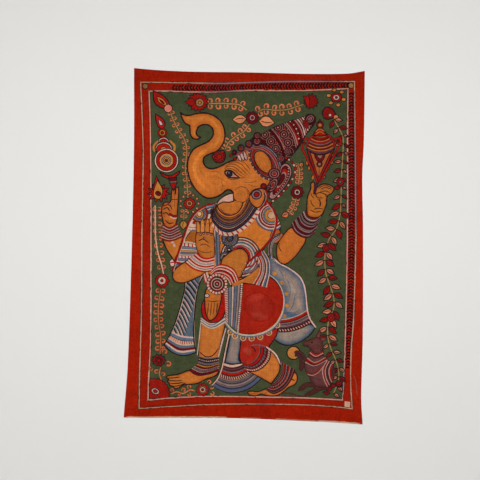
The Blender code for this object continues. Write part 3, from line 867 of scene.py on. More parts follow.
def paint_upper_left_arm():
    """The raised arm at the left, its bangles, its hand and the wheel that it holds up."""
    fill(((-27.4, 52.4), (-26.8, 55.2), (-25.2, 58.0), (-23.5, 60.0), (-21.6, 55.4), (-21.4, 52.0)),
         SKIN_EDGE,
         shade=SKIN_SHADE)
    disc(-24.5, 53.7, 0.5, CREAM, 0, squash=1.6)
    disc(-23.9, 55.0, 0.4, CREAM, 0, squash=1.5)
    fill(((-27.7, 46.4), (-27.9, 43.4), (-27.0, 41.3), (-25.2, 41.2), (-24.8, 38.4), (-24.4, 36.6),
          (-23.7, 36.4),
          (-23.6, 38.6), (-23.3, 36.6), (-22.6, 36.6), (-22.6, 40.0), (-22.9, 44.2), (-23.1, 47.2),
          (-24.4, 49.6),
          (-26.6, 49.2)), SKIN_EDGE, shade=SKIN_SHADE)
    for points in (((-23.7, 37.2), (-23.8, 43.0)), ((-27.4, 43.6), (-26.2, 43.0), (-25.2, 44.2)),
                   ((-26.8, 42.2), (-25.4, 42.2), (-24.6, 43.6)), ((-27.6, 45.0), (-26.4, 44.6),
                                                                   (-25.6, 45.6)),
                   ((-26.9, 46.8), (-25.6, 48.0), (-24.0, 47.8))):
        pen(points, 0.13)
    pen(((-25.0, 40.4), (-22.5, 40.4)), 0.3, MAROON, ends=0.9)
    pen(((-28.0, 42.6), (-26.0, 42.0), (-25.6, 41.4)), 0.4, (128, 30, 34), ends=0.8)
    pen(((-25.6, 44.9), (-24.2, 45.7), (-22.9, 45.6)), 0.85, (128, 26, 22), ends=0.8)
    pen(((-25.2, 45.8), (-24.2, 46.4), (-23.0, 46.3)), 0.3, CREAM, ends=0.8)
    strips(((-27.4, 48.2), (-25.4, 49.2), (-23.1, 48.0)), ((-28.3, 53.0), (-25.2, 53.8), (-21.3, 52.4)),
           ((0.6, WORN_RED), (0.25, INK), (0.5, DUSTY_PINK), (0.5, WORN_RED), (0.2, INK),
            (0.6, (140, 112, 110)), (0.5, DARK_LAKE), (0.4, DUSTY_PINK), (0.2, INK), (0.5, WORN_RED),
            (0.6, (140, 112, 110)), (0.5, DARK_LAKE), (0.5, DUSTY_PINK), (0.6, WORN_RED)), ink=0.05)
    # The wheel, the crest of flames above it, and the stem below it.
    fill(((-28.4, 31.8, CORNER), (-25.4, 32.9), (-22.0, 31.2, CORNER), (-22.6, 32.4), (-25.0, 33.9),
          (-27.6, 33.0)), RED)
    fill(((-25.8, 33.6, CORNER), (-23.2, 33.4, CORNER), (-23.3, 34.7, CORNER), (-25.4, 34.7, CORNER)), MAROON)
    pen(((-25.4, 34.9), (-23.2, 34.8)), 0.3, CREAM)
    fill(((-25.5, 35.1, CORNER), (-23.0, 35.0, CORNER), (-24.1, 37.6, CORNER)), RED)
    for side in (-1, 1):
        pen(((-27.1 + side * 3.1, 25.2), (-27.1 + side * 3.3, 23.4), (-27.1 + side * 1.7, 21.6)), 0.7, OCHRE)
    fill(((-29.8, 13.2, CORNER), (-27.8, 14.6), (-26.8, 16.4), (-27.6, 18.0), (-29.0, 17.2), (-29.7, 15.4)),
         RED)
    fill(((-28.9, 14.8, CORNER), (-27.5, 16.4), (-28.2, 17.0), (-28.8, 16.0)), (186, 160, 152), 0.1)
    rings(-27.7, 19.2, ((1.5, RED), (1.0, OCHRE), (0.5, RED)))
    for y, width, height in ((22.0, 1.7, 1.4), (24.2, 2.7, 2.1)):
        disc(-27.3, y, width, CREAM, 0.12, squash=height / width)
        disc(-27.3, y + 0.25, width - 0.35, RED, 0.1, squash=height / width)
        disc(-27.3, y + 0.5, width * 0.4, OCHRE if y > 23 else CREAM, 0.08)
    rings(-26.4, 28.0, ((3.85, CREAM), (3.3, RED), (2.3, (186, 130, 74)), (1.4, CREAM), (1.0, OCHRE),
                        (0.5, CREAM), (0.22, MAROON)))


def paint_crossed_arms():
    """The open palm over the chest, and the arm that crosses to the hip and hangs down."""
    # The sash of upright stripes, the pendants and the necklace coils.
    strips(((-11.2, 49.8), (-11.1, 56.0), (-10.9, 63.6)), ((-9.4, 49.8), (-9.4, 56.0), (-9.3, 63.6)),
           ((0.3, CREAM), (0.45, STEEL), (0.25, INK), (0.35, (150, 130, 136)), (0.4, STEEL)), steps=8,
           ink=0.08)
    rings(-6.2, 52.8, ((2.7, (84, 76, 88)), (2.3, CREAM), (2.0, SLATE), (1.5, CREAM), (1.2, NAVY),
                       (0.8, GREY),
                       (0.4, (84, 96, 116))))
    rings(-6.5, 56.4, ((1.5, SLATE), (1.05, CREAM), (0.75, NAVY), (0.45, CREAM)), squash=0.8)
    rings(-7.9, 58.8, ((1.5, SLATE), (1.1, CREAM), (0.7, NAVY)), squash=1.1)
    for x, y in ((-9.6, 51.4), (-9.2, 50.6), (-8.9, 54.2)):
        disc(x, y, 0.35, CREAM, 0.08)
    # The left elbow and the open palm.
    fill(((-24.3, 63.6), (-24.2, 65.8), (-22.6, 66.9), (-20.0, 66.7), (-17.4, 65.6), (-14.4, 64.0),
          (-12.4, 61.6),
          (-17.6, 58.8), (-20.4, 60.2), (-22.8, 61.8)), SKIN_EDGE, shade=BRIGHT_SKIN)
    for x, turn, length in ((-16.0, -97, 3.9), (-12.3, -80, 3.8), (-14.8, -92, 4.6), (-13.5, -87, 4.7)):
        fill([turned(x, 51.2, turn, *c) for c in ((-0.6, -0.66), (length * 0.8, -0.6), (length, -0.1),
                                                  (length * 0.85, 0.5), (-0.6, 0.66))], SKIN_EDGE, 0.09,
             shade=((206, 122, 58), 0.4))
        for reach in (1.6, 3.0):
            pen((turned(x, 51.2, turn, reach, -0.42), turned(x, 51.2, turn, reach + 0.15, 0.42)), 0.07)
    fill(((-16.8, 51.2), (-17.1, 54.6), (-16.2, 57.4), (-14.4, 59.6), (-11.4, 59.2), (-11.1, 55.0),
          (-11.4, 51.6),
          (-12.9, 50.9), (-14.8, 50.8)), SKIN_EDGE, 0.1, shade=SKIN_SHADE)
    pen(((-16.2, 53.6), (-14.8, 53.0), (-13.0, 54.2)), 0.12)
    pen(((-15.8, 55.0), (-14.2, 54.6), (-12.4, 55.6)), 0.08)
    pen(((-16.2, 56.6), (-14.0, 57.4), (-12.0, 57.0)), 0.08)
    for x, y in ((-15.6, 51.6), (-14.6, 51.2), (-13.4, 51.4), (-12.2, 51.6), (-14.4, 52.7)):
        disc(x, y, 0.32, (170, 126, 122), 0.08)
    strips(((-16.6, 57.2), (-15.0, 58.6), (-13.4, 59.0), (-11.2, 58.4)), ((-20.6, 60.6), (-18.0, 62.6),
                                                                          (-14.6, 63.6),
                                                                          (-11.2, 63.2)),
           ((0.7, RED), (0.55, CREAM), (0.65, RED), (0.5, CREAM), (0.6, (150, 134, 140)), (0.4, CREAM),
            (0.6, RED),
            (0.5, CREAM), (0.35, GREY), (0.45, CREAM), (0.65, RED)))
    # The right forearm, its bracelets and rosette, and the hand that hangs down.
    fill(((-4.9, 56.4), (-2.4, 56.1), (-0.6, 57.8), (-0.4, 60.0), (-1.6, 62.6), (-3.4, 65.4), (-8.6, 63.0),
          (-8.8, 59.6), (-7.0, 57.8)), SKIN_EDGE, shade=SKIN_SHADE)
    pen(arc(-2.9, 58.6, 3.1, -140, 40), 0.45, RED, ends=0.6)
    pen(((-2.6, 63.3), (-0.4, 63.6), (1.6, 62.6), (2.8, 61.0)), 0.85, (70, 60, 74), ends=0.5)
    pen(((-2.4, 63.3), (-0.4, 63.5), (1.5, 62.5), (2.7, 60.9)), 0.6, (124, 98, 102), ends=0.5)
    pen(((2.6, 59.6), (0.8, 61.4), (-1.6, 62.2)), 0.42, BRICK, ends=0.7)
    fill(((-14.0, 69.6), (-14.2, 73.8), (-13.8, 77.0), (-12.8, 78.9), (-11.6, 78.6), (-10.6, 77.6),
          (-9.8, 75.6),
          (-9.0, 72.4), (-8.8, 70.0), (-10.0, 68.0), (-12.8, 68.0)), SKIN_EDGE, shade=SKIN_SHADE)
    for k in range(4):
        x = -13.3 + 0.95 * k
        pen(((x + 0.3, 73.2), (x + 0.1, 75.4), (x - 0.1, 77.9 - 0.45 * k)), 0.13)
    pen(((-13.4, 72.6), (-11.6, 72.9), (-9.6, 72.6)), 0.1)
    disc(-13.5, 71.0, 0.75, CREAM, 0.1, squash=0.8)
    strips(((-14.9, 64.4), (-14.2, 67.0), (-12.4, 69.4)), ((-13.4, 63.4), (-12.4, 66.0), (-11.2, 67.6)),
           ((0.5, RED), (0.7, CREAM), (0.5, RED), (0.8, CREAM)))
    strips(((-12.6, 66.4), (-11.4, 65.0), (-9.4, 64.6), (-7.2, 65.6), (-6.0, 67.6)),
           ((-12.0, 62.6), (-10.0, 61.1), (-7.4, 61.2), (-4.6, 62.8), (-3.2, 66.0)),
           ((0.45, CREAM), (0.5, RED), (0.4, CREAM), (0.55, RED), (0.35, MAROON), (0.5, CREAM), (0.55, RED),
            (0.45, CREAM),
            (0.55, RED)))
    disc(-10.3, 67.3, 3.3, RED, 0.12)
    for k in range(19):
        beam = 360 * k / 19
        lay([turned(-10.3, 67.3, beam, r, w) for r, w in ((2.5, -0.26), (3.25, -0.36), (3.25, 0.36),
                                                          (2.5, 0.26))],
            [(0, 1, 2, 3)], CREAM)
    rings(-10.3, 67.3, ((2.45, RED), (2.05, CREAM), (1.6, RED), (1.2, CREAM), (0.75, RED), (0.35, CREAM)))
    # The sash of long stripes at the right of the waist.
    strips(((2.2, 58.2), (3.3, 60.8), (3.0, 64.0), (1.0, 67.2)), ((4.6, 56.6), (6.4, 59.8), (6.6, 63.6),
                                                                  (5.6, 68.4)),
           ((0.5, CREAM), (0.75, RED), (0.45, CREAM), (0.5, (150, 128, 134)), (0.4, CREAM), (0.7, MAROON),
            (0.6, CREAM),
            (0.7, STEEL), (0.3, NAVY), (0.6, CREAM)), ink=0.06)
    # The armlet of the far arm.
    strips(((8.8, 61.0), (7.4, 58.0), (7.6, 54.6), (9.6, 52.6)), ((6.0, 58.0), (5.9, 55.4), (7.2, 52.4),
                                                                  (10.4, 50.8)),
           ((0.5, (160, 138, 142)), (0.3, STEEL), (0.6, CREAM), (0.5, STEEL), (0.5, CREAM), (0.3, NAVY),
            (0.7, VIOLET),
            (0.3, CREAM)), ink=0.08)
    fill(((3.2, 56.6), (1.8, 57.4), (2.4, 58.6), (3.8, 57.8)), RED, 0.1)


def paint_head():
    """The elephant's head and its raised trunk, tusk, eye, cheek and ear."""
    # The collars round the neck, from the jaw outwards.
    strips(((-10.6, 42.0), (-9.8, 44.4), (-7.6, 45.9), (-5.2, 45.9), (-2.8, 44.2), (-1.4, 42.0),
            (-0.6, 39.6)),
           ((-12.4, 43.4), (-12.0, 46.8), (-9.8, 49.7), (-6.8, 50.8), (-3.4, 49.6), (0.0, 46.8), (2.8, 42.8)),
           ((0.5, VIOLET), (0.5, (158, 92, 44)), (0.4, MAROON), (0.35, (128, 84, 70)), (0.6, (140, 86, 46)),
            (0.4, VIOLET), (0.4, (124, 88, 80)), (0.5, NAVY), (0.4, (150, 112, 98)), (0.35, NAVY),
            (0.35, CREAM),
            (0.5, MAROON), (0.7, (38, 46, 62))), steps=20, ink=0.12)
    strips(((-11.6, 47.8), (-9.4, 50.2), (-6.8, 51.0), (-3.4, 49.8), (0.0, 47.0), (2.9, 42.9)),
           ((-11.9, 48.8), (-9.8, 51.2), (-6.8, 52.1), (-3.0, 50.9), (0.8, 47.8), (3.8, 43.7)),
           ((1.0, CREAM, RED, 12),), steps=18)
    # The ear lobe and the back of the head.
    fill(((-0.2, 38.8), (0.2, 41.0), (1.4, 42.6), (2.9, 43.0), (4.3, 41.6), (5.0, 39.0), (4.6, 36.4),
          (2.4, 35.0)),
         SKIN_EDGE, shade=SKIN_SHADE)
    head = fill(((-21.9, 12.8, CORNER), (-20.9, 13.5), (-19.4, 13.7), (-16.8, 13.1), (-14.2, 12.9),
                 (-11.6, 13.6),
                 (-9.4, 15.2), (-8.1, 17.6), (-7.8, 20.4), (-8.6, 23.0), (-10.4, 25.0), (-12.8, 26.0),
                 (-14.4, 27.0),
                 (-14.6, 28.8), (-13.4, 30.3), (-11.6, 30.6), (-9.2, 29.8), (-6.6, 28.4), (-4.4, 27.5),
                 (-3.0, 25.6),
                 (-1.0, 24.2), (3.0, 23.6), (7.0, 26.6), (8.6, 31.0), (7.4, 34.6), (4.8, 36.6), (1.4, 37.4),
                 (-0.2, 39.4), (-1.8, 41.2), (-4.4, 41.6), (-5.1, 40.0, CORNER), (-5.1, 38.4, CORNER),
                 (-6.0, 37.4),
                 (-7.2, 37.4), (-9.0, 38.8), (-11.2, 39.8), (-13.6, 39.9), (-16.2, 38.2), (-18.2, 35.6),
                 (-19.4, 32.4),
                 (-19.7, 29.0), (-19.0, 26.4), (-17.6, 24.3), (-15.4, 23.1), (-12.9, 21.8), (-11.6, 20.0),
                 (-11.6, 18.2), (-12.8, 16.8), (-14.6, 16.6), (-16.1, 17.2), (-16.8, 18.6), (-16.8, 19.8),
                 (-15.6, 20.7, CORNER), (-16.6, 21.3), (-18.0, 20.9), (-18.8, 19.6), (-18.9, 17.8),
                 (-19.0, 16.9, CORNER), (-20.4, 16.2), (-21.4, 14.6)), SKIN_EDGE, ink=0.2,
                shade=((194, 108, 44), 1.8))
    disc(-15.7, 20.6, 0.3, INK, 0)
    # Jaw, tusk and cheek.
    fill(((-10.2, 42.2), (-9.4, 44.0), (-7.8, 45.2), (-5.8, 45.4), (-3.8, 44.6), (-2.6, 43.0), (-2.2, 41.2),
          (-4.4, 40.6),
          (-8.0, 40.8)), SKIN_EDGE, shade=SKIN_SHADE)
    pen(((-9.2, 43.2), (-8.0, 44.8), (-6.0, 45.0)), 0.3, VIOLET)
    fill(((-5.1, 38.4, CORNER), (-7.0, 38.8), (-9.0, 40.0), (-10.2, 41.4), (-10.6, 42.9, CORNER),
          (-9.7, 41.8),
          (-8.2, 41.2), (-6.6, 41.3), (-5.0, 40.9, CORNER)), (208, 160, 138), 0.16)
    disc(-2.5, 38.8, 2.5, (188, 104, 43), 0.0)
    disc(-2.7, 39.0, 1.7, (192, 108, 46), 0.0)
    pen(arc(-2.5, 38.8, 2.5, 120, -150), 0.2, (84, 42, 24))
    pen(arc(-2.5, 38.8, 2.1, 60, -50), 0.12, UMBER)
    # The eye, with the lines of the brow over it and behind it.
    fill(((-7.8, 31.7), (-6.7, 31.1), (-5.4, 31.5), (-4.4, 32.5), (-3.2, 33.4, CORNER), (-4.8, 33.5),
          (-6.3, 33.4),
          (-7.3, 32.8)), (176, 124, 104), 0.2)
    disc(-6.3, 32.25, 1.0, (34, 28, 38), 0.0)
    disc(-6.5, 31.9, 0.25, (130, 120, 130), 0.0)
    for points in (((-8.2, 31.6), (-6.8, 30.5), (-5.0, 30.9), (-3.4, 32.3), (-2.0, 33.2)),
                   ((-8.1, 30.8), (-6.6, 29.8), (-4.6, 30.2), (-2.8, 31.7), (-1.2, 32.9)),
                   ((-7.6, 29.9), (-6.0, 29.1), (-4.0, 29.5), (-2.2, 31.0), (-0.6, 32.6)),
                   ((-6.8, 28.9), (-5.0, 28.4), (-2.8, 29.0), (-1.0, 30.9), (0.4, 32.5)),
                   ((-5.4, 28.2), (-3.4, 27.9), (-1.4, 28.9), (0.2, 30.8)),
                   ((-7.2, 33.4), (-6.0, 34.0), (-4.4, 33.9), (-3.0, 33.6)),
                   ((-3.2, 33.4), (-2.4, 33.6), (-1.4, 33.2))):
        pen(points, 0.22, (92, 48, 26))
    for points in (((-9.6, 36.9), (-8.6, 36.0), (-7.6, 36.2)), ((-0.6, 35.4), (1.4, 36.2), (3.4, 36.0)),
                   ((-2.0, 34.8), (0.2, 35.0), (2.4, 34.6)), ((-12.4, 31.6), (-10.8, 31.4), (-9.4, 31.9)),
                   ((-12.8, 33.0), (-11.2, 32.8), (-9.6, 33.3)), ((-9.0, 34.6), (-8.4, 36.4), (-9.6, 37.8))):
        pen(points, 0.14, UMBER)
    # Washes along the trunk, where the brush went twice.
    for points, width, dye in ((((-20.4, 14.4), (-17.4, 14.9), (-13.6, 14.3), (-10.6, 16.6), (-9.6, 20.4),
                                 (-11.0, 23.4)),
                                0.7, (206, 120, 50)),
                               (((-13.4, 24.6), (-16.2, 26.6), (-17.6, 30.0), (-16.6, 33.8), (-13.8, 37.0)),
                                1.0,
                                (208, 122, 50)),
                               (((-15.2, 27.0), (-15.8, 30.4), (-14.2, 33.4)), 0.6, (186, 100, 38)),
                               (((-12.6, 32.8), (-9.6, 33.6), (-6.0, 35.6)), 0.6, (188, 102, 38)),
                               (((-17.6, 17.6), (-17.7, 19.2), (-16.9, 20.3)), 0.5, (206, 120, 50))):
        pen(points, width, dye, ends=0.1)
    # The brow mark, of three wide strokes.
    for x, y, turn in ((-3.3, 26.9, 62), (-2.3, 26.7, 68), (-1.3, 26.5, 74)):
        disc(x, y, 1.45, (198, 152, 138), 0.1, squash=0.34, turn=turn)
    # The ear seen as an oval patch in its rims.
    for grow, dye in ((1.66, (58, 40, 46)), (1.53, (150, 98, 94)), (1.44, (104, 14, 16)),
                      (1.34, (170, 116, 108)),
                      (1.26, (158, 22, 14)), (1.08, (150, 92, 70))):
        fill(ear_patch(grow), dye, 0.06)
    beads(ear_patch(1.62)[4:] + ear_patch(1.62)[:1], 0.24, 0.8, [(186, 140, 130), (110, 56, 58)], ink=0.0)
    patch = fill(ear_patch(0.98), SKIN_EDGE, 0.14, shade=SKIN_SHADE)
    for k in range(3):
        pen(((3.0 + 0.7 * k, 25.6 + 0.5 * k), (3.3 + 0.9 * k, 28.6), (5.0 + 0.8 * k, 31.4)), 0.08,
            (140, 84, 40),
            inside=patch)
    return head


def ear_patch(grow):
    """The oval ear patch, grown about its middle."""
    middle = (4.2, 28.5)
    shape = ((2.0, 25.2), (4.2, 25.0), (6.4, 27.2), (7.2, 30.0), (6.4, 32.0), (4.4, 31.6), (2.4, 29.6),
             (1.5, 27.2))
    return [mix(middle, point, grow) for point in shape]


def paint_crown():
    """The tall leaning crown, the ornaments behind the ear, and the fringe of beads."""
    pale = (168, 112, 104)
    dark = (66, 10, 12)
    body = fill(((-0.8, 23.4), (1.6, 20.4), (4.4, 19.4), (7.2, 17.8), (10.6, 16.4), (14.0, 15.2),
                 (17.2, 14.2),
                 (18.8, 13.4), (20.4, 14.0), (20.9, 15.8), (19.4, 17.9), (17.9, 19.8), (16.6, 22.2),
                 (15.0, 24.6),
                 (13.2, 26.6), (11.4, 28.4), (9.6, 30.2), (8.2, 28.0), (6.2, 25.4), (3.0, 23.6)), dark,
                ink=0.2)
    crown = (4.8, 23.6, -33)
    # Lines that run across the crown, from the tip to the brow.
    for along, half, bulge, dye, width in ((15.9, 2.6, 0.7, pale, 0.34), (15.1, 3.0, 0.8, pale, 0.36),
                                           (14.3, 3.3, 0.9, SHELL, 0.4), (13.5, 3.6, 0.9, pale, 0.36),
                                           (12.7, 4.0, 1.0, SHELL, 0.4), (11.9, 4.4, 1.0, pale, 0.34),
                                           (11.4, 4.6, 1.1, (130, 20, 18), 0.3),
                                           (9.5, 5.2, 1.2, LAKE_RED, 0.34),
                                           (9.0, 5.4, 1.2, pale, 0.32), (8.3, 5.7, 1.3, pale, 0.3),
                                           (4.9, 6.8, 1.5, pale, 0.3), (4.4, 7.0, 1.5, LAKE_RED, 0.34),
                                           (3.9, 7.0, 1.5, pale, 0.3), (0.6, 7.6, 1.5, pale, 0.3)):
        pen([turned(*crown, along + bulge * (1 - t * t), half * t) for t in (-1, -0.5, 0, 0.5, 1)],
            width, dye, inside=body, ends=0.9)
    # Rows of beads and of round flowers between the lines.
    for along, half, count, radius in ((10.4, 4.0, 11, 0.32), (7.9, 5.0, 15, 0.16), (3.0, 6.0, 17, 0.16)):
        for k in range(count):
            t = -0.95 + 1.9 * k / (count - 1)
            disc(*turned(*crown, along + 1.2 * (1 - t * t), half * t), radius, (SHELL, RED)[k % 2], 0.05,
                 inside=body)
    for along, across, radius in ((5.7, -5.4, 1.4), (6.9, -2.8, 1.7), (7.3, 0.1, 1.7), (6.9, 3.0, 1.7),
                                  (5.7, 5.8, 1.5),
                                  (1.0, -5.2, 1.2), (2.2, -3.1, 1.6), (2.7, -0.3, 1.6), (2.6, 2.5, 1.6),
                                  (1.8, 5.2, 1.5), (0.6, 7.4, 1.1)):
        x, y = turned(*crown, along, across)
        rings(x, y, ((radius, pale), (radius * 0.84, dark), (radius * 0.6, pale),
                     (radius * 0.44, (104, 14, 16)),
                     (radius * 0.18, (190, 140, 128))), inside=body, ink=0.06)
    for along, across in ((6.0, -4.0), (6.3, -1.3), (6.3, 1.4), (6.0, 4.2), (8.6, -1.4), (8.6, 1.4),
                          (1.4, -1.8),
                          (1.7, 0.9), (1.3, 3.6), (4.0, 0.9), (3.6, -1.9), (3.4, 3.6)):
        disc(*turned(*crown, along, across), 0.34, (168, 30, 22), 0.05, inside=body)
    disc(19.4, 15.0, 1.75, dark)
    rings(19.3, 14.8, ((1.3, (160, 104, 106)), (0.95, dark), (0.62, SHELL), (0.34, RED)), squash=0.85,
          turn=-40, ink=0.06)
    fill(((17.0, 15.8), (17.9, 15.0), (18.9, 16.6), (18.2, 18.0)), (130, 22, 20), 0.08, inside=body)
    # The band of the crown over the brow, and its row of rosettes.
    strips(((-4.3, 26.8), (-2.0, 25.5), (0.6, 24.6), (3.4, 24.6), (6.1, 26.2), (7.9, 29.0), (8.7, 32.2)),
           ((-4.8, 25.5), (-2.4, 24.0), (0.6, 22.9), (4.0, 22.8), (7.4, 24.5), (9.8, 27.8), (10.6, 31.4)),
           ((0.3, NAVY), (0.35, pale), (0.5, (160, 26, 18)), (0.3, pale), (0.4, (60, 56, 70)),
            (0.3, (150, 120, 122)),
            (0.35, NAVY)), ink=0.07)
    for x, y, radius in ((-4.8, 25.4, 0.85), (-2.7, 24.0, 1.1), (-0.2, 22.7, 1.2), (2.4, 21.9, 1.35),
                         (2.5, 20.1, 1.15)):
        rings(x, y, ((radius, WINE), (radius * 0.68, pale), (radius * 0.4, (150, 26, 24))), ink=0.1)
    for x, y in ((-5.9, 26.4), (-4.6, 27.4)):
        disc(x, y, 0.5, RED, 0.1)
    # The long ornament and the curled ones behind the ear.
    long = fill(((11.8, 28.9), (13.2, 30.2), (13.4, 32.4), (12.0, 35.4), (9.8, 38.2), (7.6, 40.3),
                 (6.3, 39.8),
                 (7.0, 37.4), (8.9, 34.6), (9.6, 31.6), (10.2, 29.6)), pale, 0.16)
    for grow, dye in ((0.86, WINE), (0.68, (160, 26, 18)), (0.5, pale), (0.36, WINE)):
        fill([mix((10.3, 34.0), point, grow) for point in ((11.8, 28.9), (13.2, 30.4), (13.2, 32.4),
                                                           (12.0, 35.2),
                                                         (9.8, 38.0), (7.8, 39.8), (6.9, 39.3), (7.5, 37.4),
                                                         (9.1, 34.6), (9.8, 31.8), (10.4, 29.8))], dye, 0.06)
    beads(((12.4, 30.6), (12.4, 32.5), (11.2, 35.2), (9.4, 37.6), (7.9, 39.2)), 0.24, 0.85, [SHELL], ink=0.05,
          inside=long)
    for x, y, radius, squash, turn in ((7.4, 35.8, 2.7, 0.52, -58), (5.7, 37.4, 1.9, 0.4, -62),
                                       (7.9, 32.2, 1.95, 0.9, 0),
                                       (9.9, 27.4, 1.3, 0.9, 0), (12.2, 25.2, 1.3, 0.9, 0)):
        rings(x, y, ((radius, WINE), (radius * 0.82, pale), (radius * 0.64, WINE), (radius * 0.46, pale),
                     (radius * 0.28, RED)), squash=squash, turn=turn, ink=0.06)
    disc(4.5, 36.2, 0.95, MAROON)
    disc(4.5, 36.2, 0.45, RED, 0.06)
    rings(2.3, 38.8, ((1.75, (70, 60, 74)), (1.45, (166, 126, 128)), (1.05, (112, 20, 20)), (0.72, RED)),
          turn=-20,
          squash=0.9, ink=0.06)
    beads(((11.6, 27.2), (13.4, 28.4), (14.6, 30.6), (14.2, 32.8), (12.8, 35.4), (10.8, 37.8), (8.8, 39.8),
           (6.6, 41.6)),
          0.5, 1.2, [RED, (206, 156, 140)], squash=0.8)


def paint_garland():
    """The red cord that runs from the neck round both shoulders."""
    for points in (((-10.8, 41.6), (-13.4, 42.2), (-16.4, 43.9), (-18.6, 46.4), (-20.2, 50.0), (-21.6, 54.4),
                    (-22.9, 58.2), (-23.9, 61.0), (-24.5, 63.2)),
                   ((5.8, 41.2), (7.4, 43.2), (8.5, 45.8), (8.6, 48.2), (7.8, 51.0), (6.2, 53.8), (4.2, 56.0),
                    (2.0, 58.2), (0.2, 59.9), (-1.0, 60.6)),
                   ((5.2, 37.4), (5.8, 39.6), (5.0, 41.8), (3.2, 43.6))):
        pen([(x - 0.4 * (1 if x > -5 else -1), y + 0.12) for x, y in points], 0.26, (190, 146, 132), ends=0.8)
        pen(points, 0.66, (60, 20, 24), ends=0.8)
        pen(points, 0.4, (152, 16, 12), ends=0.8)
    # The tassel at the left elbow.
    fill(((-24.4, 59.4), (-25.4, 60.2), (-24.8, 61.8), (-23.8, 61.2)), (206, 164, 150), 0.1)
    pen(((-25.6, 60.6), (-24.0, 60.4), (-22.0, 60.4)), 0.4, RED)


def paint_mouse():
    """The mouse in the lower right corner, in striped cloths, holding up a round sweet."""
    disc(14.0, 89.2, 2.1, (196, 124, 60), 0.16)
    pen(((9.6, 102.3), (12.4, 102.0), (15.6, 102.8), (18.4, 103.0)), 0.5, MOUSE)
    line = (54, 28, 30)
    fill(((25.0, 99.2), (22.0, 99.0), (19.6, 98.6), (17.4, 98.9), (15.8, 100.4), (15.6, 101.3), (17.0, 101.0),
          (18.6, 100.0), (20.8, 100.4), (19.2, 101.4), (17.6, 102.4), (18.0, 103.0), (20.4, 102.4),
          (22.8, 101.2),
          (25.2, 100.4)), MOUSE, 0.2, line=line)
    body = fill(((19.6, 88.0), (18.8, 90.2), (17.8, 92.0), (17.6, 94.2), (18.8, 96.6), (20.0, 98.6),
                 (21.4, 99.8),
                 (24.8, 100.0), (26.6, 98.0), (27.2, 94.8), (25.9, 92.2), (23.8, 90.2), (23.2, 88.0)), MOUSE,
                0.22,
                shade=((100, 54, 54), 1.4), line=line)
    for points in (((17.6, 92.4), (17.0, 94.4), (16.4, 95.0), (15.8, 94.4), (16.0, 91.6), (15.4, 90.4),
                    (14.5, 90.3),
                    (14.7, 89.4), (16.0, 89.5), (16.8, 90.8), (17.0, 92.0)),
                   ((18.4, 92.6), (17.4, 91.6), (16.6, 89.8), (15.2, 89.2), (14.3, 89.3), (14.6, 88.6),
                    (16.0, 88.6),
                    (17.2, 89.4), (18.0, 90.8), (18.8, 91.4))):
        fill(points, MOUSE, 0.18, line=line)
    for y in (88.8, 89.2, 89.7, 90.1):
        pen(((15.2, y), (14.1, y - 0.15)), 0.2, (70, 40, 48))
    for x, y, turn, length in ((21.9, 84.0, -72, 1.3), (23.2, 84.9, -8, 1.0)):
        fill([turned(x, y, turn, *c) for c in ((-1.0, 0.0), (0.0, -0.6), (1.3 * length, -0.25),
                                               (1.5 * length, 0.2),
                                               (0.0, 0.65))], MOUSE, 0.2, shade=((124, 66, 62), 0.5),
             line=line)
    fill(((16.9, 86.3), (17.3, 85.6), (18.8, 85.2), (20.2, 84.6), (21.8, 84.3), (23.0, 85.4), (23.4, 87.6),
          (22.8, 89.2), (20.8, 89.4), (19.6, 88.2), (18.6, 87.3), (17.3, 87.0)), MOUSE, 0.2,
         shade=((100, 54, 54), 1.2),
         line=line)
    disc(19.9, 85.9, 0.3, (30, 20, 26), 0.0)
    pen(((17.1, 86.8), (18.3, 86.7), (19.0, 87.0)), 0.2, line)
    for reach in range(5):
        pen(((20.0 + reach * 0.5, 86.6), (20.6 + reach * 0.5, 87.6), (21.0 + reach * 0.4, 88.6)), 0.1, line)
    cream = (184, 140, 128)
    strips(((19.4, 88.6), (21.2, 89.8), (23.3, 88.8)), ((19.0, 89.8), (21.0, 91.0), (23.8, 89.9)),
           ((0.4, RED), (0.35, cream), (0.4, EARTH_RED)), inside=body, ink=0.06)
    strips(((18.4, 90.6), (20.8, 92.2), (24.2, 90.6)), ((17.6, 92.4), (20.6, 93.6), (24.9, 91.6)),
           ((0.3, cream), (0.4, RED), (0.35, EARTH_RED), (0.35, cream)), inside=body, ink=0.06)
    pen(((17.8, 95.4), (20.0, 95.9), (22.0, 94.8), (23.4, 93.0)), 0.42, (140, 24, 20), inside=body)
    pen(((18.0, 95.9), (20.2, 96.4), (22.3, 95.2), (23.6, 93.4)), 0.22, cream, inside=body)
    strips(((24.6, 91.6), (23.2, 94.6), (23.6, 97.6), (24.8, 100.2)), ((27.4, 92.6), (26.6, 94.6),
                                                                       (26.8, 97.0), (27.8, 98.8)),
           ((0.3, cream), (0.4, LAKE_RED), (0.3, cream), (0.7, MOUSE), (0.3, cream), (0.4, LAKE_RED),
            (0.5, MOUSE)), inside=body, ink=0.06)
    for k in range(6):
        pen(((18.6 + 0.7 * k, 97.0 + 0.25 * k), (19.2 + 0.7 * k, 96.6 + 0.2 * k),
             (19.8 + 0.6 * k, 97.0 + 0.3 * k)), 0.1,
            line, inside=body)
        pen(((18.6 + 0.8 * k, 94.4 - 0.1 * k), (19.2 + 0.8 * k, 94.0 - 0.1 * k)), 0.1, line, inside=body)


def paint_all():
    """The whole painting, from the ground up."""
    paint_border()
    paint_top_garden()
    paint_left_garden()
    paint_creeper()
    paint_shawl()
    paint_far_arm()
    paint_left_sash()
    paint_legs()
    paint_waist()
    paint_upper_left_arm()
    paint_torso()
    paint_crossed_arms()
    paint_head()
    paint_crown()
    paint_garland()
    paint_mouse()


# ---------------------------------------------------------------- the sheet

# Points closer than this are one point, in centimetres.
NEAR = 0.003
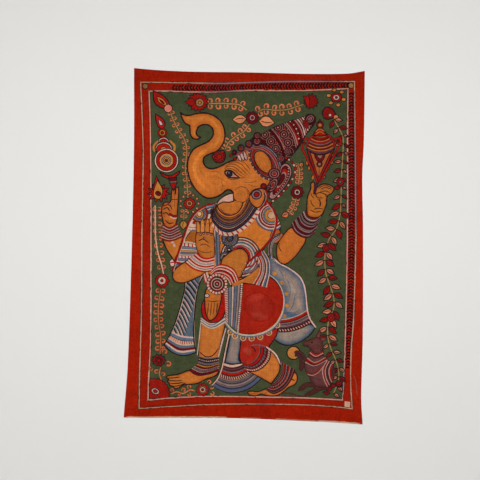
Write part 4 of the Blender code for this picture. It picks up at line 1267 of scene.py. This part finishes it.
# The cloth bends so gently that points this far apart carry its folds, in centimetres.
WEAVE_GRID = 1.6
# A shaded dye needs closer points, in centimetres.
SHADE_GRID = 0.55
# The dye of a shape soaks through to the back if half its breadth is over this, in centimetres.
SOAK = 0.16
RAW_COTTON = (186, 160, 130)
# How far the dyes on the back have gone to raw cotton.
FADE = 0.35
# How unlike each other two shapes of one dye are: in each colour by itself, and in all three.
VARY_ONE, VARY_ALL = 0.035, 0.05
# The flat map. For the face and for the back: left, low, size. For the rim: left, length, low, high.
FACE_MAP = (0.335, 0.975, 0.98 / 1.14)
BACK_MAP = (0.833, 0.47, 0.98 / 1.14 * 0.44)
RIM_MAP = (0.7, 0.28, 0.70, 0.73)


def outline(shape):
    """The edges round a shape: those that only one of its cells has."""
    uses = {}
    for cell in shape.cells:
        for a, b in zip(cell, cell[1:] + cell[:1]):
            uses[min(a, b), max(a, b)] = uses.get((min(a, b), max(a, b)), 0) + 1
    return [edge for edge, count in uses.items() if count == 1]


def half_breadth(shape):
    """About half a shape's breadth: its area over the length of its outline."""
    area = 0.0
    for cell in shape.cells:
        corners = [shape.points[i] for i in cell]
        area += abs(sum(a[0] * b[1] - a[1] * b[0] for a, b in zip(corners, corners[1:] + corners[:1]))) / 2
    return area / (sum(math.dist(shape.points[a], shape.points[b]) for a, b in outline(shape)) or 1.0)


def triangulated(points, edges):
    """Triangles that keep every point and every edge."""
    flat, _, triangles, _, _, _ = delaunay_2d_cdt([Vector(p) for p in points], edges, [], 0, NEAR)
    return np.array([tuple(p) for p in flat]), np.array(triangles)


def within(corners, spots):
    """Which spots lie inside a polygon."""
    found = np.zeros(len(spots), dtype=bool)
    for (ax, ay), (bx, by) in zip(corners, corners[1:] + corners[:1]):
        if ay != by:
            level = (ay > spots[:, 1]) != (by > spots[:, 1])
            found ^= level & (spots[:, 0] < (bx - ax) * (spots[:, 1] - ay) / (by - ay) + ax)
    return found


def shown(spots, numbers):
    """The number of the shape that shows at each spot, or -1 off the cloth."""
    order = np.argsort(spots[:, 0])
    sorted_x = spots[order, 0]
    top = np.full(len(spots), -1)
    clips = {painting[n].inside for n in numbers}
    covers = {}
    for number in numbers:
        shape = painting[number]
        hits = []
        for cell in shape.cells:
            corners = [shape.points[i] for i in cell]
            xs = [p[0] for p in corners]
            ys = [p[1] for p in corners]
            near = order[np.searchsorted(sorted_x, min(xs)):np.searchsorted(sorted_x, max(xs))]
            near = near[(spots[near, 1] > min(ys)) & (spots[near, 1] < max(ys))]
            hits.append(near[within(corners, spots[near])])
        hits = np.concatenate(hits)
        if number in clips:
            covers[number] = np.zeros(len(spots), dtype=bool)
            covers[number][hits] = True
        if shape.inside is not None:
            hits = hits[covers[shape.inside][hits]]
        if number != numbers[0]:
            hits = hits[top[hits] >= 0]
        top[hits] = number
    return top


def edge_pairs(triangles):
    """Each edge of the triangles once, with the triangles on its two sides, -1 for none."""
    edges = np.sort(np.concatenate([triangles[:, (0, 1)], triangles[:, (1, 2)], triangles[:, (2, 0)]]),
                    axis=1)
    owner = np.tile(np.arange(len(triangles)), 3)
    order = np.lexsort((edges[:, 1], edges[:, 0]))
    edges, owner = edges[order], owner[order]
    first = np.ones(len(edges), dtype=bool)
    first[1:] = (edges[1:] != edges[:-1]).any(axis=1)
    starts = np.flatnonzero(first)
    paired = np.zeros(len(starts), dtype=bool)
    paired[:-1] = np.diff(starts) == 2
    paired[-1] = len(edges) - starts[-1] == 2
    other = np.where(paired, owner[np.minimum(starts + 1, len(owner) - 1)], -1)
    return edges[starts], owner[starts], other


def grid_spots(shading):
    """Points all over the cloth and, if asked for, closer ones where a dye is shaded."""
    spots = []
    shaded = [n for n, shape in enumerate(painting) if shape.shade and shading]
    for pitch, numbers in ((WEAVE_GRID, [0]), (SHADE_GRID, shaded)):
        for number in numbers:
            shape = painting[number]
            xs = [p[0] for p in shape.points]
            ys = [p[1] for p in shape.points]
            columns = np.arange(min(xs) + pitch / 2, max(xs), pitch)
            rows = np.arange(min(ys) + pitch / 2, max(ys), pitch * 0.87)
            grid = np.array([(x + (k % 2) * pitch / 2, y) for k, y in enumerate(rows) for x in columns])
            if len(grid):
                spots.append(grid[within([shape.points[i] for i in shape.cells[0]], grid)])
    return np.concatenate(spots)


def painted_face(numbers, rim=None):
    """The flat cloth cut along every edge that shows between its shapes: points, triangles, and
    the shape that shows in each. rim is the loop that it has to end at."""
    points, edges = [], []
    for number in numbers:
        shape = painting[number]
        first = len(points)
        points += shape.points
        edges += [(first + a, first + b) for a, b in outline(shape)]
    flat, triangles = triangulated(points, edges)
    top = shown(flat[triangles].mean(axis=1), numbers)
    edges, left, right = edge_pairs(triangles)
    beside = np.where(right < 0, -1, top[right])
    on_rim = np.zeros(len(flat), dtype=bool)
    on_rim[edges[(top[left] >= 0) != (beside >= 0)]] = True
    kept = edges[(top[left] != beside) & ((rim is None) | ~on_rim[edges].any(axis=1))]
    used, kept = np.unique(kept, return_inverse=True)
    kept = kept.reshape(-1, 2)
    points = [tuple(p) for p in flat[used]]
    edges = [(int(a), int(b)) for a, b in kept]
    if rim is not None:
        edges += [(len(points) + k, len(points) + (k + 1) % len(rim)) for k in range(len(rim))]
        points += rim
    flat, triangles = triangulated(points + [tuple(p) for p in grid_spots(rim is None)], edges)
    top = shown(flat[triangles].mean(axis=1), numbers)
    triangles, top = triangles[top >= 0], top[top >= 0]
    a, b, c = (flat[triangles[:, k]] for k in (0, 1, 2))
    area = (b[:, 0] - a[:, 0]) * (c[:, 1] - a[:, 1]) - (b[:, 1] - a[:, 1]) * (c[:, 0] - a[:, 0])
    triangles[area > 0] = triangles[area > 0][:, ::-1]
    sound = np.abs(area) > 1e-9
    triangles, top = triangles[sound], top[sound]
    used, triangles = np.unique(triangles, return_inverse=True)
    return flat[used], triangles.reshape(-1, 3), top


def rim_loop(triangles):
    """The points round the edge of a cut sheet, in turn."""
    edges, _, other = edge_pairs(triangles)
    beside = {}
    for a, b in edges[other < 0]:
        beside.setdefault(int(a), []).append(int(b))
        beside.setdefault(int(b), []).append(int(a))
    loop = [min(beside)]
    while len(loop) < len(beside):
        ahead = [n for n in beside[loop[-1]] if len(loop) < 2 or n != loop[-2]]
        loop.append(ahead[0])
    return loop


def depth_in(number, spots):
    """How far each spot is from the outline of that shape."""
    shape = painting[number]
    nearest = np.full(len(spots), 1e9)
    for i, j in outline(shape):
        start, end = np.array(shape.points[i]), np.array(shape.points[j])
        run = end - start
        share = np.clip((spots - start) @ run / max(run @ run, 1e-9), 0, 1)
        nearest = np.minimum(nearest, np.hypot(*(spots - start - share[:, None] * run).T))
    return nearest


def daylight(dye):
    """A dye's red, green and blue as shares of the light it throws back."""
    share = np.clip(np.asarray(dye, dtype=float) / 255, 0, 1)
    return np.where(share <= 0.04045, share / 12.92, ((share + 0.055) / 1.055) ** 2.4)


def dyed_corners(flat, triangles, top, fade=0.0):
    """The dye at each corner of each triangle. fade is how far it has gone to raw cotton."""
    spots = flat[triangles].reshape(-1, 2)
    owners = np.repeat(top, 3)
    colours = np.zeros((len(spots), 4))
    colours[:, 3] = 1.0
    order = np.argsort(owners, kind="stable")
    starts = np.flatnonzero(np.diff(owners[order], prepend=-1))
    for first, last in zip(starts, list(starts[1:]) + [len(order)]):
        corners = order[first:last]
        shape = painting[owners[corners[0]]]
        vary = np.array([hand.gauss(1.0, VARY_ONE) for _ in range(3)]) * hand.gauss(1.0, VARY_ALL)
        colour = daylight(mix(shape.dye, RAW_COTTON, fade)) * vary
        if shape.shade:
            reach = smooth_step(depth_in(owners[corners[0]], spots[corners]) / shape.shade[1])[:, None]
            colour = colour * (1 - reach) + daylight(mix(shape.shade[0], RAW_COTTON, fade)) * vary * reach
        colours[corners, :3] = colour
    return colours


def fold_height(fold, x, z):
    """How far one fold lifts the cloth at (x, z) towards the viewer, in metres."""
    x_top, z_top, x_low, z_low, half_width, height = fold
    run_x, run_z = x_low - x_top, z_low - z_top
    length = math.hypot(run_x, run_z)
    along = ((x - x_top) * run_x + (z - z_top) * run_z) / length
    across = ((x - x_top) * run_z - (z - z_top) * run_x) / length
    rise = smooth_step(along / (FOLD_RISE * length))
    fall = smooth_step((length - along) / (FOLD_FALL * length))
    return height * rise * fall * np.exp(-((across / half_width) ** 2))


def relief(x, z):
    """How far the cloth at (x, z) stands towards the viewer, in metres."""
    curls = sum(height * smooth_step(1.0 - np.hypot(x - x_corner, z - z_corner) / reach)
                for x_corner, z_corner, reach, height in CURLS)
    return curls + sum(fold_height(fold, x, z) for fold in FOLDS)


def hang(flat, behind):
    """The flat cloth's points where they hang, that far behind its middle, and the way it faces."""
    x, z = flat[:, 0] * CM, -flat[:, 1] * CM
    small = 1e-4
    slope_x = (relief(x + small, z) - relief(x - small, z)) / (2 * small)
    slope_z = (relief(x, z + small) - relief(x, z - small)) / (2 * small)
    normals = np.stack([-slope_x, -np.ones(len(x)), -slope_z], axis=1)
    normals /= np.linalg.norm(normals, axis=1)[:, None]
    middle = np.stack([x, relief(0.0, 0.0) - relief(x, z), z], axis=1)
    return middle - normals * behind, normals


def sheet_maps(front, back, rim):
    """Where each corner lies on the flat map: the face on the left, the back and rim beside it."""
    maps = []
    for flat, (left, low, size) in ((front, FACE_MAP), (back, BACK_MAP)):
        maps.append(np.stack([left + flat[:, 0] * CM * size, low - flat[:, 1] * CM * size], axis=1))
    left, length, low, high = RIM_MAP
    along = np.arange(rim + 1) / rim * length + left
    maps += [np.stack([along, np.full(rim + 1, level)], axis=1) for level in (low, high)]
    return maps


def make_cloth():
    """The painted cloth: its face, its back where the dyes have soaked through, and its rim."""
    paint_all()
    everything = list(range(len(painting)))
    face, face_cells, face_top = painted_face(everything)
    loop = rim_loop(face_cells)
    soaked = [0] + [n for n in everything[1:] if half_breadth(painting[n]) > SOAK]
    back, back_cells, back_top = painted_face(soaked, rim=[tuple(face[n]) for n in loop])
    back_loop = rim_loop(back_cells)
    first = int(np.argmin(np.hypot(*(back[back_loop] - face[loop[0]]).T)))
    back_loop = back_loop[first:] + back_loop[:first]
    if math.dist(back[back_loop[1]], face[loop[1]]) > math.dist(back[back_loop[-1]], face[loop[1]]):
        back_loop = back_loop[:1] + back_loop[:0:-1]

    face_points, face_normals = hang(face, -THICKNESS / 2)
    back_points, back_normals = hang(back, THICKNESS / 2)
    back_cells = back_cells[:, ::-1] + len(face)
    loop, back_loop = np.array(loop), np.array(back_loop) + len(face)
    ahead, back_ahead = np.roll(loop, -1), np.roll(back_loop, -1)
    rim_cells = np.stack([loop, ahead, back_ahead, back_loop], axis=1)
    points = np.concatenate([face_points, back_points])
    rim_normals = np.cross(points[ahead] - points[loop], points[back_loop] - points[loop])
    if np.sum(rim_normals * (points[loop] - points.mean(axis=0))) < 0:
        rim_cells = rim_cells[:, ::-1]
        rim_normals = -rim_normals

    mesh = bpy.data.meshes.new("hanging")
    mesh.from_pydata(points, [], face_cells.tolist() + back_cells.tolist() + rim_cells.tolist())
    mesh.shade_smooth()
    counts = (len(face_cells), len(back_cells), len(rim_cells))
    mesh.polygons.foreach_set("material_index", np.repeat((0, 1, 2), counts).astype(np.int32))

    face_dyes = dyed_corners(face, face_cells, face_top)
    back_dyes = dyed_corners(back, back_cells[:, ::-1] - len(face), back_top, fade=FADE)
    back_dyes = back_dyes.reshape(-1, 3, 4)[:, ::-1].reshape(-1, 4)
    raw = np.tile(np.append(daylight(RAW_COTTON), 1.0), (4 * len(rim_cells), 1))
    dye = mesh.attributes.new("dye", "FLOAT_COLOR", "CORNER")
    dye.data.foreach_set("color", np.concatenate([face_dyes, back_dyes, raw]).ravel())

    face_map, back_map, near_map, far_map = sheet_maps(face, back, len(loop))
    turns = np.arange(len(loop))
    rim_map = np.stack([near_map[turns], near_map[turns + 1], far_map[turns + 1], far_map[turns]], axis=1)
    if rim_cells[0][0] != loop[0]:
        rim_map = rim_map[:, ::-1]
    corners = [face_map[face_cells], back_map[back_cells - len(face)], rim_map]
    corners = np.concatenate([c.reshape(-1, 2) for c in corners]).ravel()
    mesh.uv_layers.new(name="OFBake").data.foreach_set("uv", corners)

    rim_normals /= np.linalg.norm(rim_normals, axis=1)[:, None]
    normals = [face_normals[face_cells.ravel()], -back_normals[back_cells.ravel() - len(face)],
               np.repeat(rim_normals, 4, axis=0)]
    mesh.normals_split_custom_set(np.concatenate(normals).tolist())
    cloth = bpy.data.objects.new("hanging", mesh)
    bpy.context.scene.collection.objects.link(cloth)
    return cloth


# ---------------------------------------------------------------- the finishes

# Distance between two threads, in metres, and one wave of the wave texture at scale 1.
THREAD = 0.0007
RIDGE = 0.314


class Mixing:
    """A material's nodes, added and joined one by one."""

    def __init__(self, name):
        self.material = bpy.data.materials.new(name)
        self.material.use_nodes = True
        self.nodes = self.material.node_tree.nodes
        self.links = self.material.node_tree.links
        self.shader = self.nodes["Principled BSDF"]

    def add(self, kind, settings=None, **inputs):
        """A new node. An input is given by its name, or by its number after an underscore."""
        node = self.nodes.new(kind)
        for name, value in (settings or {}).items():
            setattr(node, name, value)
        for name, value in inputs.items():
            self.put(node.inputs[int(name[1:])] if name[0] == "_" else node.inputs[name.replace("_", " ")],
                     value)
        return node

    def put(self, socket, value):
        """Joins a node to a socket, or sets the value on it."""
        if isinstance(value, bpy.types.Node):
            value = value.outputs[0]
        if isinstance(value, bpy.types.NodeSocket):
            self.links.new(value, socket)
        else:
            socket.default_value = value

    def noise(self, scale, stretch=(1.0, 1.0, 1.0), detail=4.0, roughness=0.55):
        """Blotches so many to the metre, stretched along an axis by a small factor there."""
        place = self.add("ShaderNodeTexCoord").outputs["Object"]
        stretched = self.add("ShaderNodeVectorMath", {"operation": "MULTIPLY"}, _0=place, _1=stretch)
        return self.add("ShaderNodeTexNoise", None, Vector=stretched, Scale=scale, Detail=detail,
                        Roughness=roughness)

    def between(self, value, low, high, to_low, to_high):
        """The value moved from one range to another, and held there."""
        return self.add("ShaderNodeMapRange", None, Value=value, From_Min=low, From_Max=high,
                        To_Min=to_low, To_Max=to_high)

    def times(self, a, b):
        """One value times another."""
        return self.add("ShaderNodeMath", {"operation": "MULTIPLY"}, _0=a, _1=b)

    def plus(self, a, b):
        """One value and another."""
        return self.add("ShaderNodeMath", {"operation": "ADD"}, _0=a, _1=b)

    def even(self, noise, less, more, low=0.3):
        """Noise as a factor on the dye, from 1 - less to 1 + more."""
        return self.between(noise, low, 1.0 - low, 1.0 - less, 1.0 + more)

    def threads(self):
        """Warp and weft: the higher of two sets of ridges, bent a little as handloom yarn is."""
        place = self.add("ShaderNodeTexCoord").outputs["Object"]
        sets = []
        for axis in ("X", "Z"):
            sets.append(self.add("ShaderNodeTexWave", {"bands_direction": axis}, Vector=place,
                                 Scale=RIDGE / THREAD, Distortion=1.2, Detail=2.0, Detail_Scale=0.05))
        return self.add("ShaderNodeMath", {"operation": "MAXIMUM"}, _0=sets[0].outputs["Fac"],
                        _1=sets[1].outputs["Fac"])

    def finish(self, colour, height, roughness):
        """Gives the cloth its colour, its relief and its dull surface."""
        bump = self.add("ShaderNodeBump", None, Strength=0.5, Distance=0.0003, Height=height)
        self.put(self.shader.inputs["Base Color"], colour)
        self.put(self.shader.inputs["Roughness"], roughness)
        self.put(self.shader.inputs["Normal"], bump)
        self.shader.inputs["Specular IOR Level"].default_value = 0.03
        self.shader.inputs["Sheen Weight"].default_value = 0.01
        self.shader.inputs["Sheen Roughness"].default_value = 0.5
        return self.material


def dyed_cotton(name, worn):
    """Hand-dyed cotton. The dye lies unevenly, as cloth takes it from a brush: in pools and
    thin places, along the threads, and in pale specks of raw cotton. worn is how strongly."""
    kit = Mixing(name)
    dye = kit.add("ShaderNodeAttribute", {"attribute_name": "dye"}).outputs["Color"]
    pools = kit.even(kit.noise(55.0, detail=5.0, roughness=0.62), 0.18 * worn, 0.14 * worn)
    washes = kit.even(kit.noise(9.0, detail=2.0), 0.07 * worn, 0.05 * worn, low=0.35)
    grain = kit.even(kit.noise(230.0, detail=3.0, roughness=0.7), 0.2 * worn, 0.18 * worn)
    down = kit.even(kit.noise(330.0, (1.0, 1.0, 0.06), 2.0), 0.08 * worn, 0.07 * worn)
    across = kit.even(kit.noise(330.0, (0.06, 1.0, 1.0), 2.0), 0.08 * worn, 0.07 * worn)
    place = kit.add("ShaderNodeTexCoord").outputs["Object"]
    level = kit.add("ShaderNodeSeparateXYZ", None, Vector=place).outputs["Z"]
    # Darker along the top edge and along the foot: painted shade, as the light falls off there.
    edge_shade = kit.times(kit.between(level, -0.16, 0.0, 1.0, 0.8), kit.between(level, -1.12, -1.03, 0.88, 1.0))
    depth = kit.times(kit.times(kit.times(pools, washes), kit.times(down, across)), kit.times(grain, edge_shade))
    tinted = kit.add("ShaderNodeVectorMath", {"operation": "SCALE"}, _0=dye, Scale=depth).outputs["Vector"]
    specks = kit.between(kit.noise(620.0, detail=1.0), 0.64, 0.76, 0.0, 0.15 * worn)
    pale = kit.add("ShaderNodeMix", {"data_type": "RGBA"})
    kit.put(pale.inputs["Factor"], specks)
    kit.put(pale.inputs["A"], tinted)
    kit.put(pale.inputs["B"], (*daylight(RAW_COTTON), 1.0))
    threads = kit.threads()
    height = kit.plus(threads, kit.times(kit.noise(160.0, detail=3.0), 0.8))
    roughness = kit.between(threads, 0.0, 1.0, 0.96, 0.84)
    colour = next(out for out in pale.outputs if out.type == "RGBA")
    return kit.finish(colour, height, roughness)


# ---------------------------------------------------------------- the stage

# In metres: the floor's height, how far it reaches, how it turns up, how high the wall is.
FLOOR = -4.2
FLOOR_REACH = 7.5
TURN = 1.5
WALL = 9.0
# The middle of the view, how much height it takes in at the cloth, and the lens.
VIEW_X = -0.030
VIEW_Z = -0.533
VIEW_HEIGHT = 1.527
LENS = 90.0
SENSOR = 36.0
PAPER = (0.80, 0.795, 0.78, 1.0)
# Light in the air, and the power of each lamp in watts.
AIR = 0.30
KEY, FILL, BACK, BEHIND = 44.0, 27.0, 60.0, 210.0


def make_stage():
    """A pale floor that turns up into a pale wall all round, far from the cloth."""
    mesh = bpy.data.meshes.new("studio")
    profile = [(0.0, 0.0)] + [(FLOOR_REACH - TURN + TURN * math.sin(a), TURN - TURN * math.cos(a))
                              for a in (math.pi / 2 * k / 12 for k in range(13))] + [(FLOOR_REACH, WALL)]
    sides = 64
    points = [(0.0, 0.0, FLOOR)]
    for reach, height in profile[1:]:
        points += [(reach * math.cos(2 * math.pi * k / sides), reach * math.sin(2 * math.pi * k / sides),
                    FLOOR + height) for k in range(sides)]
    cells = [(0, 1 + k, 1 + (k + 1) % sides) for k in range(sides)]
    for row in range(len(profile) - 2):
        low, high = 1 + row * sides, 1 + (row + 1) * sides
        cells += [(low + k, high + k, high + (k + 1) % sides, low + (k + 1) % sides) for k in range(sides)]
    mesh.from_pydata(points, [], cells)
    mesh.shade_smooth()
    studio = bpy.data.objects.new("studio", mesh)
    bpy.context.scene.collection.objects.link(studio)
    paper = bpy.data.materials.new("pale studio paper")
    paper.use_nodes = True
    paper.node_tree.nodes["Principled BSDF"].inputs["Base Color"].default_value = PAPER
    paper.node_tree.nodes["Principled BSDF"].inputs["Roughness"].default_value = 0.95
    mesh.materials.append(paper)


def area_light(name, place, aim, size, power, colour=(1.0, 1.0, 1.0)):
    """A soft square light that points at a place."""
    light = bpy.data.lights.new(name, "AREA")
    light.size = size
    light.energy = power
    light.color = colour
    lamp = bpy.data.objects.new(name, light)
    lamp.location = place
    lamp.rotation_euler = (Vector(aim) - Vector(place)).to_track_quat("-Z", "Y").to_euler()
    bpy.context.scene.collection.objects.link(lamp)


def light_and_camera():
    """Even studio light, brightest at the middle of the cloth, and a long lens face on."""
    world = bpy.data.worlds.new("studio air")
    world.use_nodes = True
    world.node_tree.nodes["Background"].inputs["Color"].default_value = (1.0, 1.0, 1.0, 1.0)
    world.node_tree.nodes["Background"].inputs["Strength"].default_value = AIR
    scene = bpy.context.scene
    scene.world = world
    scene.view_settings.view_transform = "Standard"
    middle = (VIEW_X, 0.0, VIEW_Z)
    area_light("key light", (VIEW_X - 1.0, -2.7, VIEW_Z + 0.5), middle, 1.6, KEY)
    area_light("fill light", (VIEW_X + 1.8, -2.6, VIEW_Z - 0.1), middle, 2.0, FILL)
    area_light("back light", (VIEW_X, 2.8, VIEW_Z + 2.2), middle, 2.0, BACK)
    area_light("wall light", (VIEW_X, 1.5, VIEW_Z + 1.0), (VIEW_X + 0.3, FLOOR_REACH, VIEW_Z), 2.0, BEHIND)
    lens = bpy.data.cameras.new("camera")
    lens.lens = LENS
    lens.sensor_width = SENSOR
    lens.clip_end = 60.0
    camera = bpy.data.objects.new("camera", lens)
    camera.location = (VIEW_X, -VIEW_HEIGHT * LENS / SENSOR, VIEW_Z)
    camera.rotation_euler = (math.radians(90.0), 0.0, 0.0)
    scene.collection.objects.link(camera)
    scene.camera = camera


cloth = make_cloth()
cloth.data.materials.append(dyed_cotton("painted cotton", 1.0))
cloth.data.materials.append(dyed_cotton("soaked cotton", 1.8))
cloth.data.materials.append(dyed_cotton("cut cotton edge", 0.8))
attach(cloth, "root")
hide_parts("painted_cloth")
make_stage()
light_and_camera()
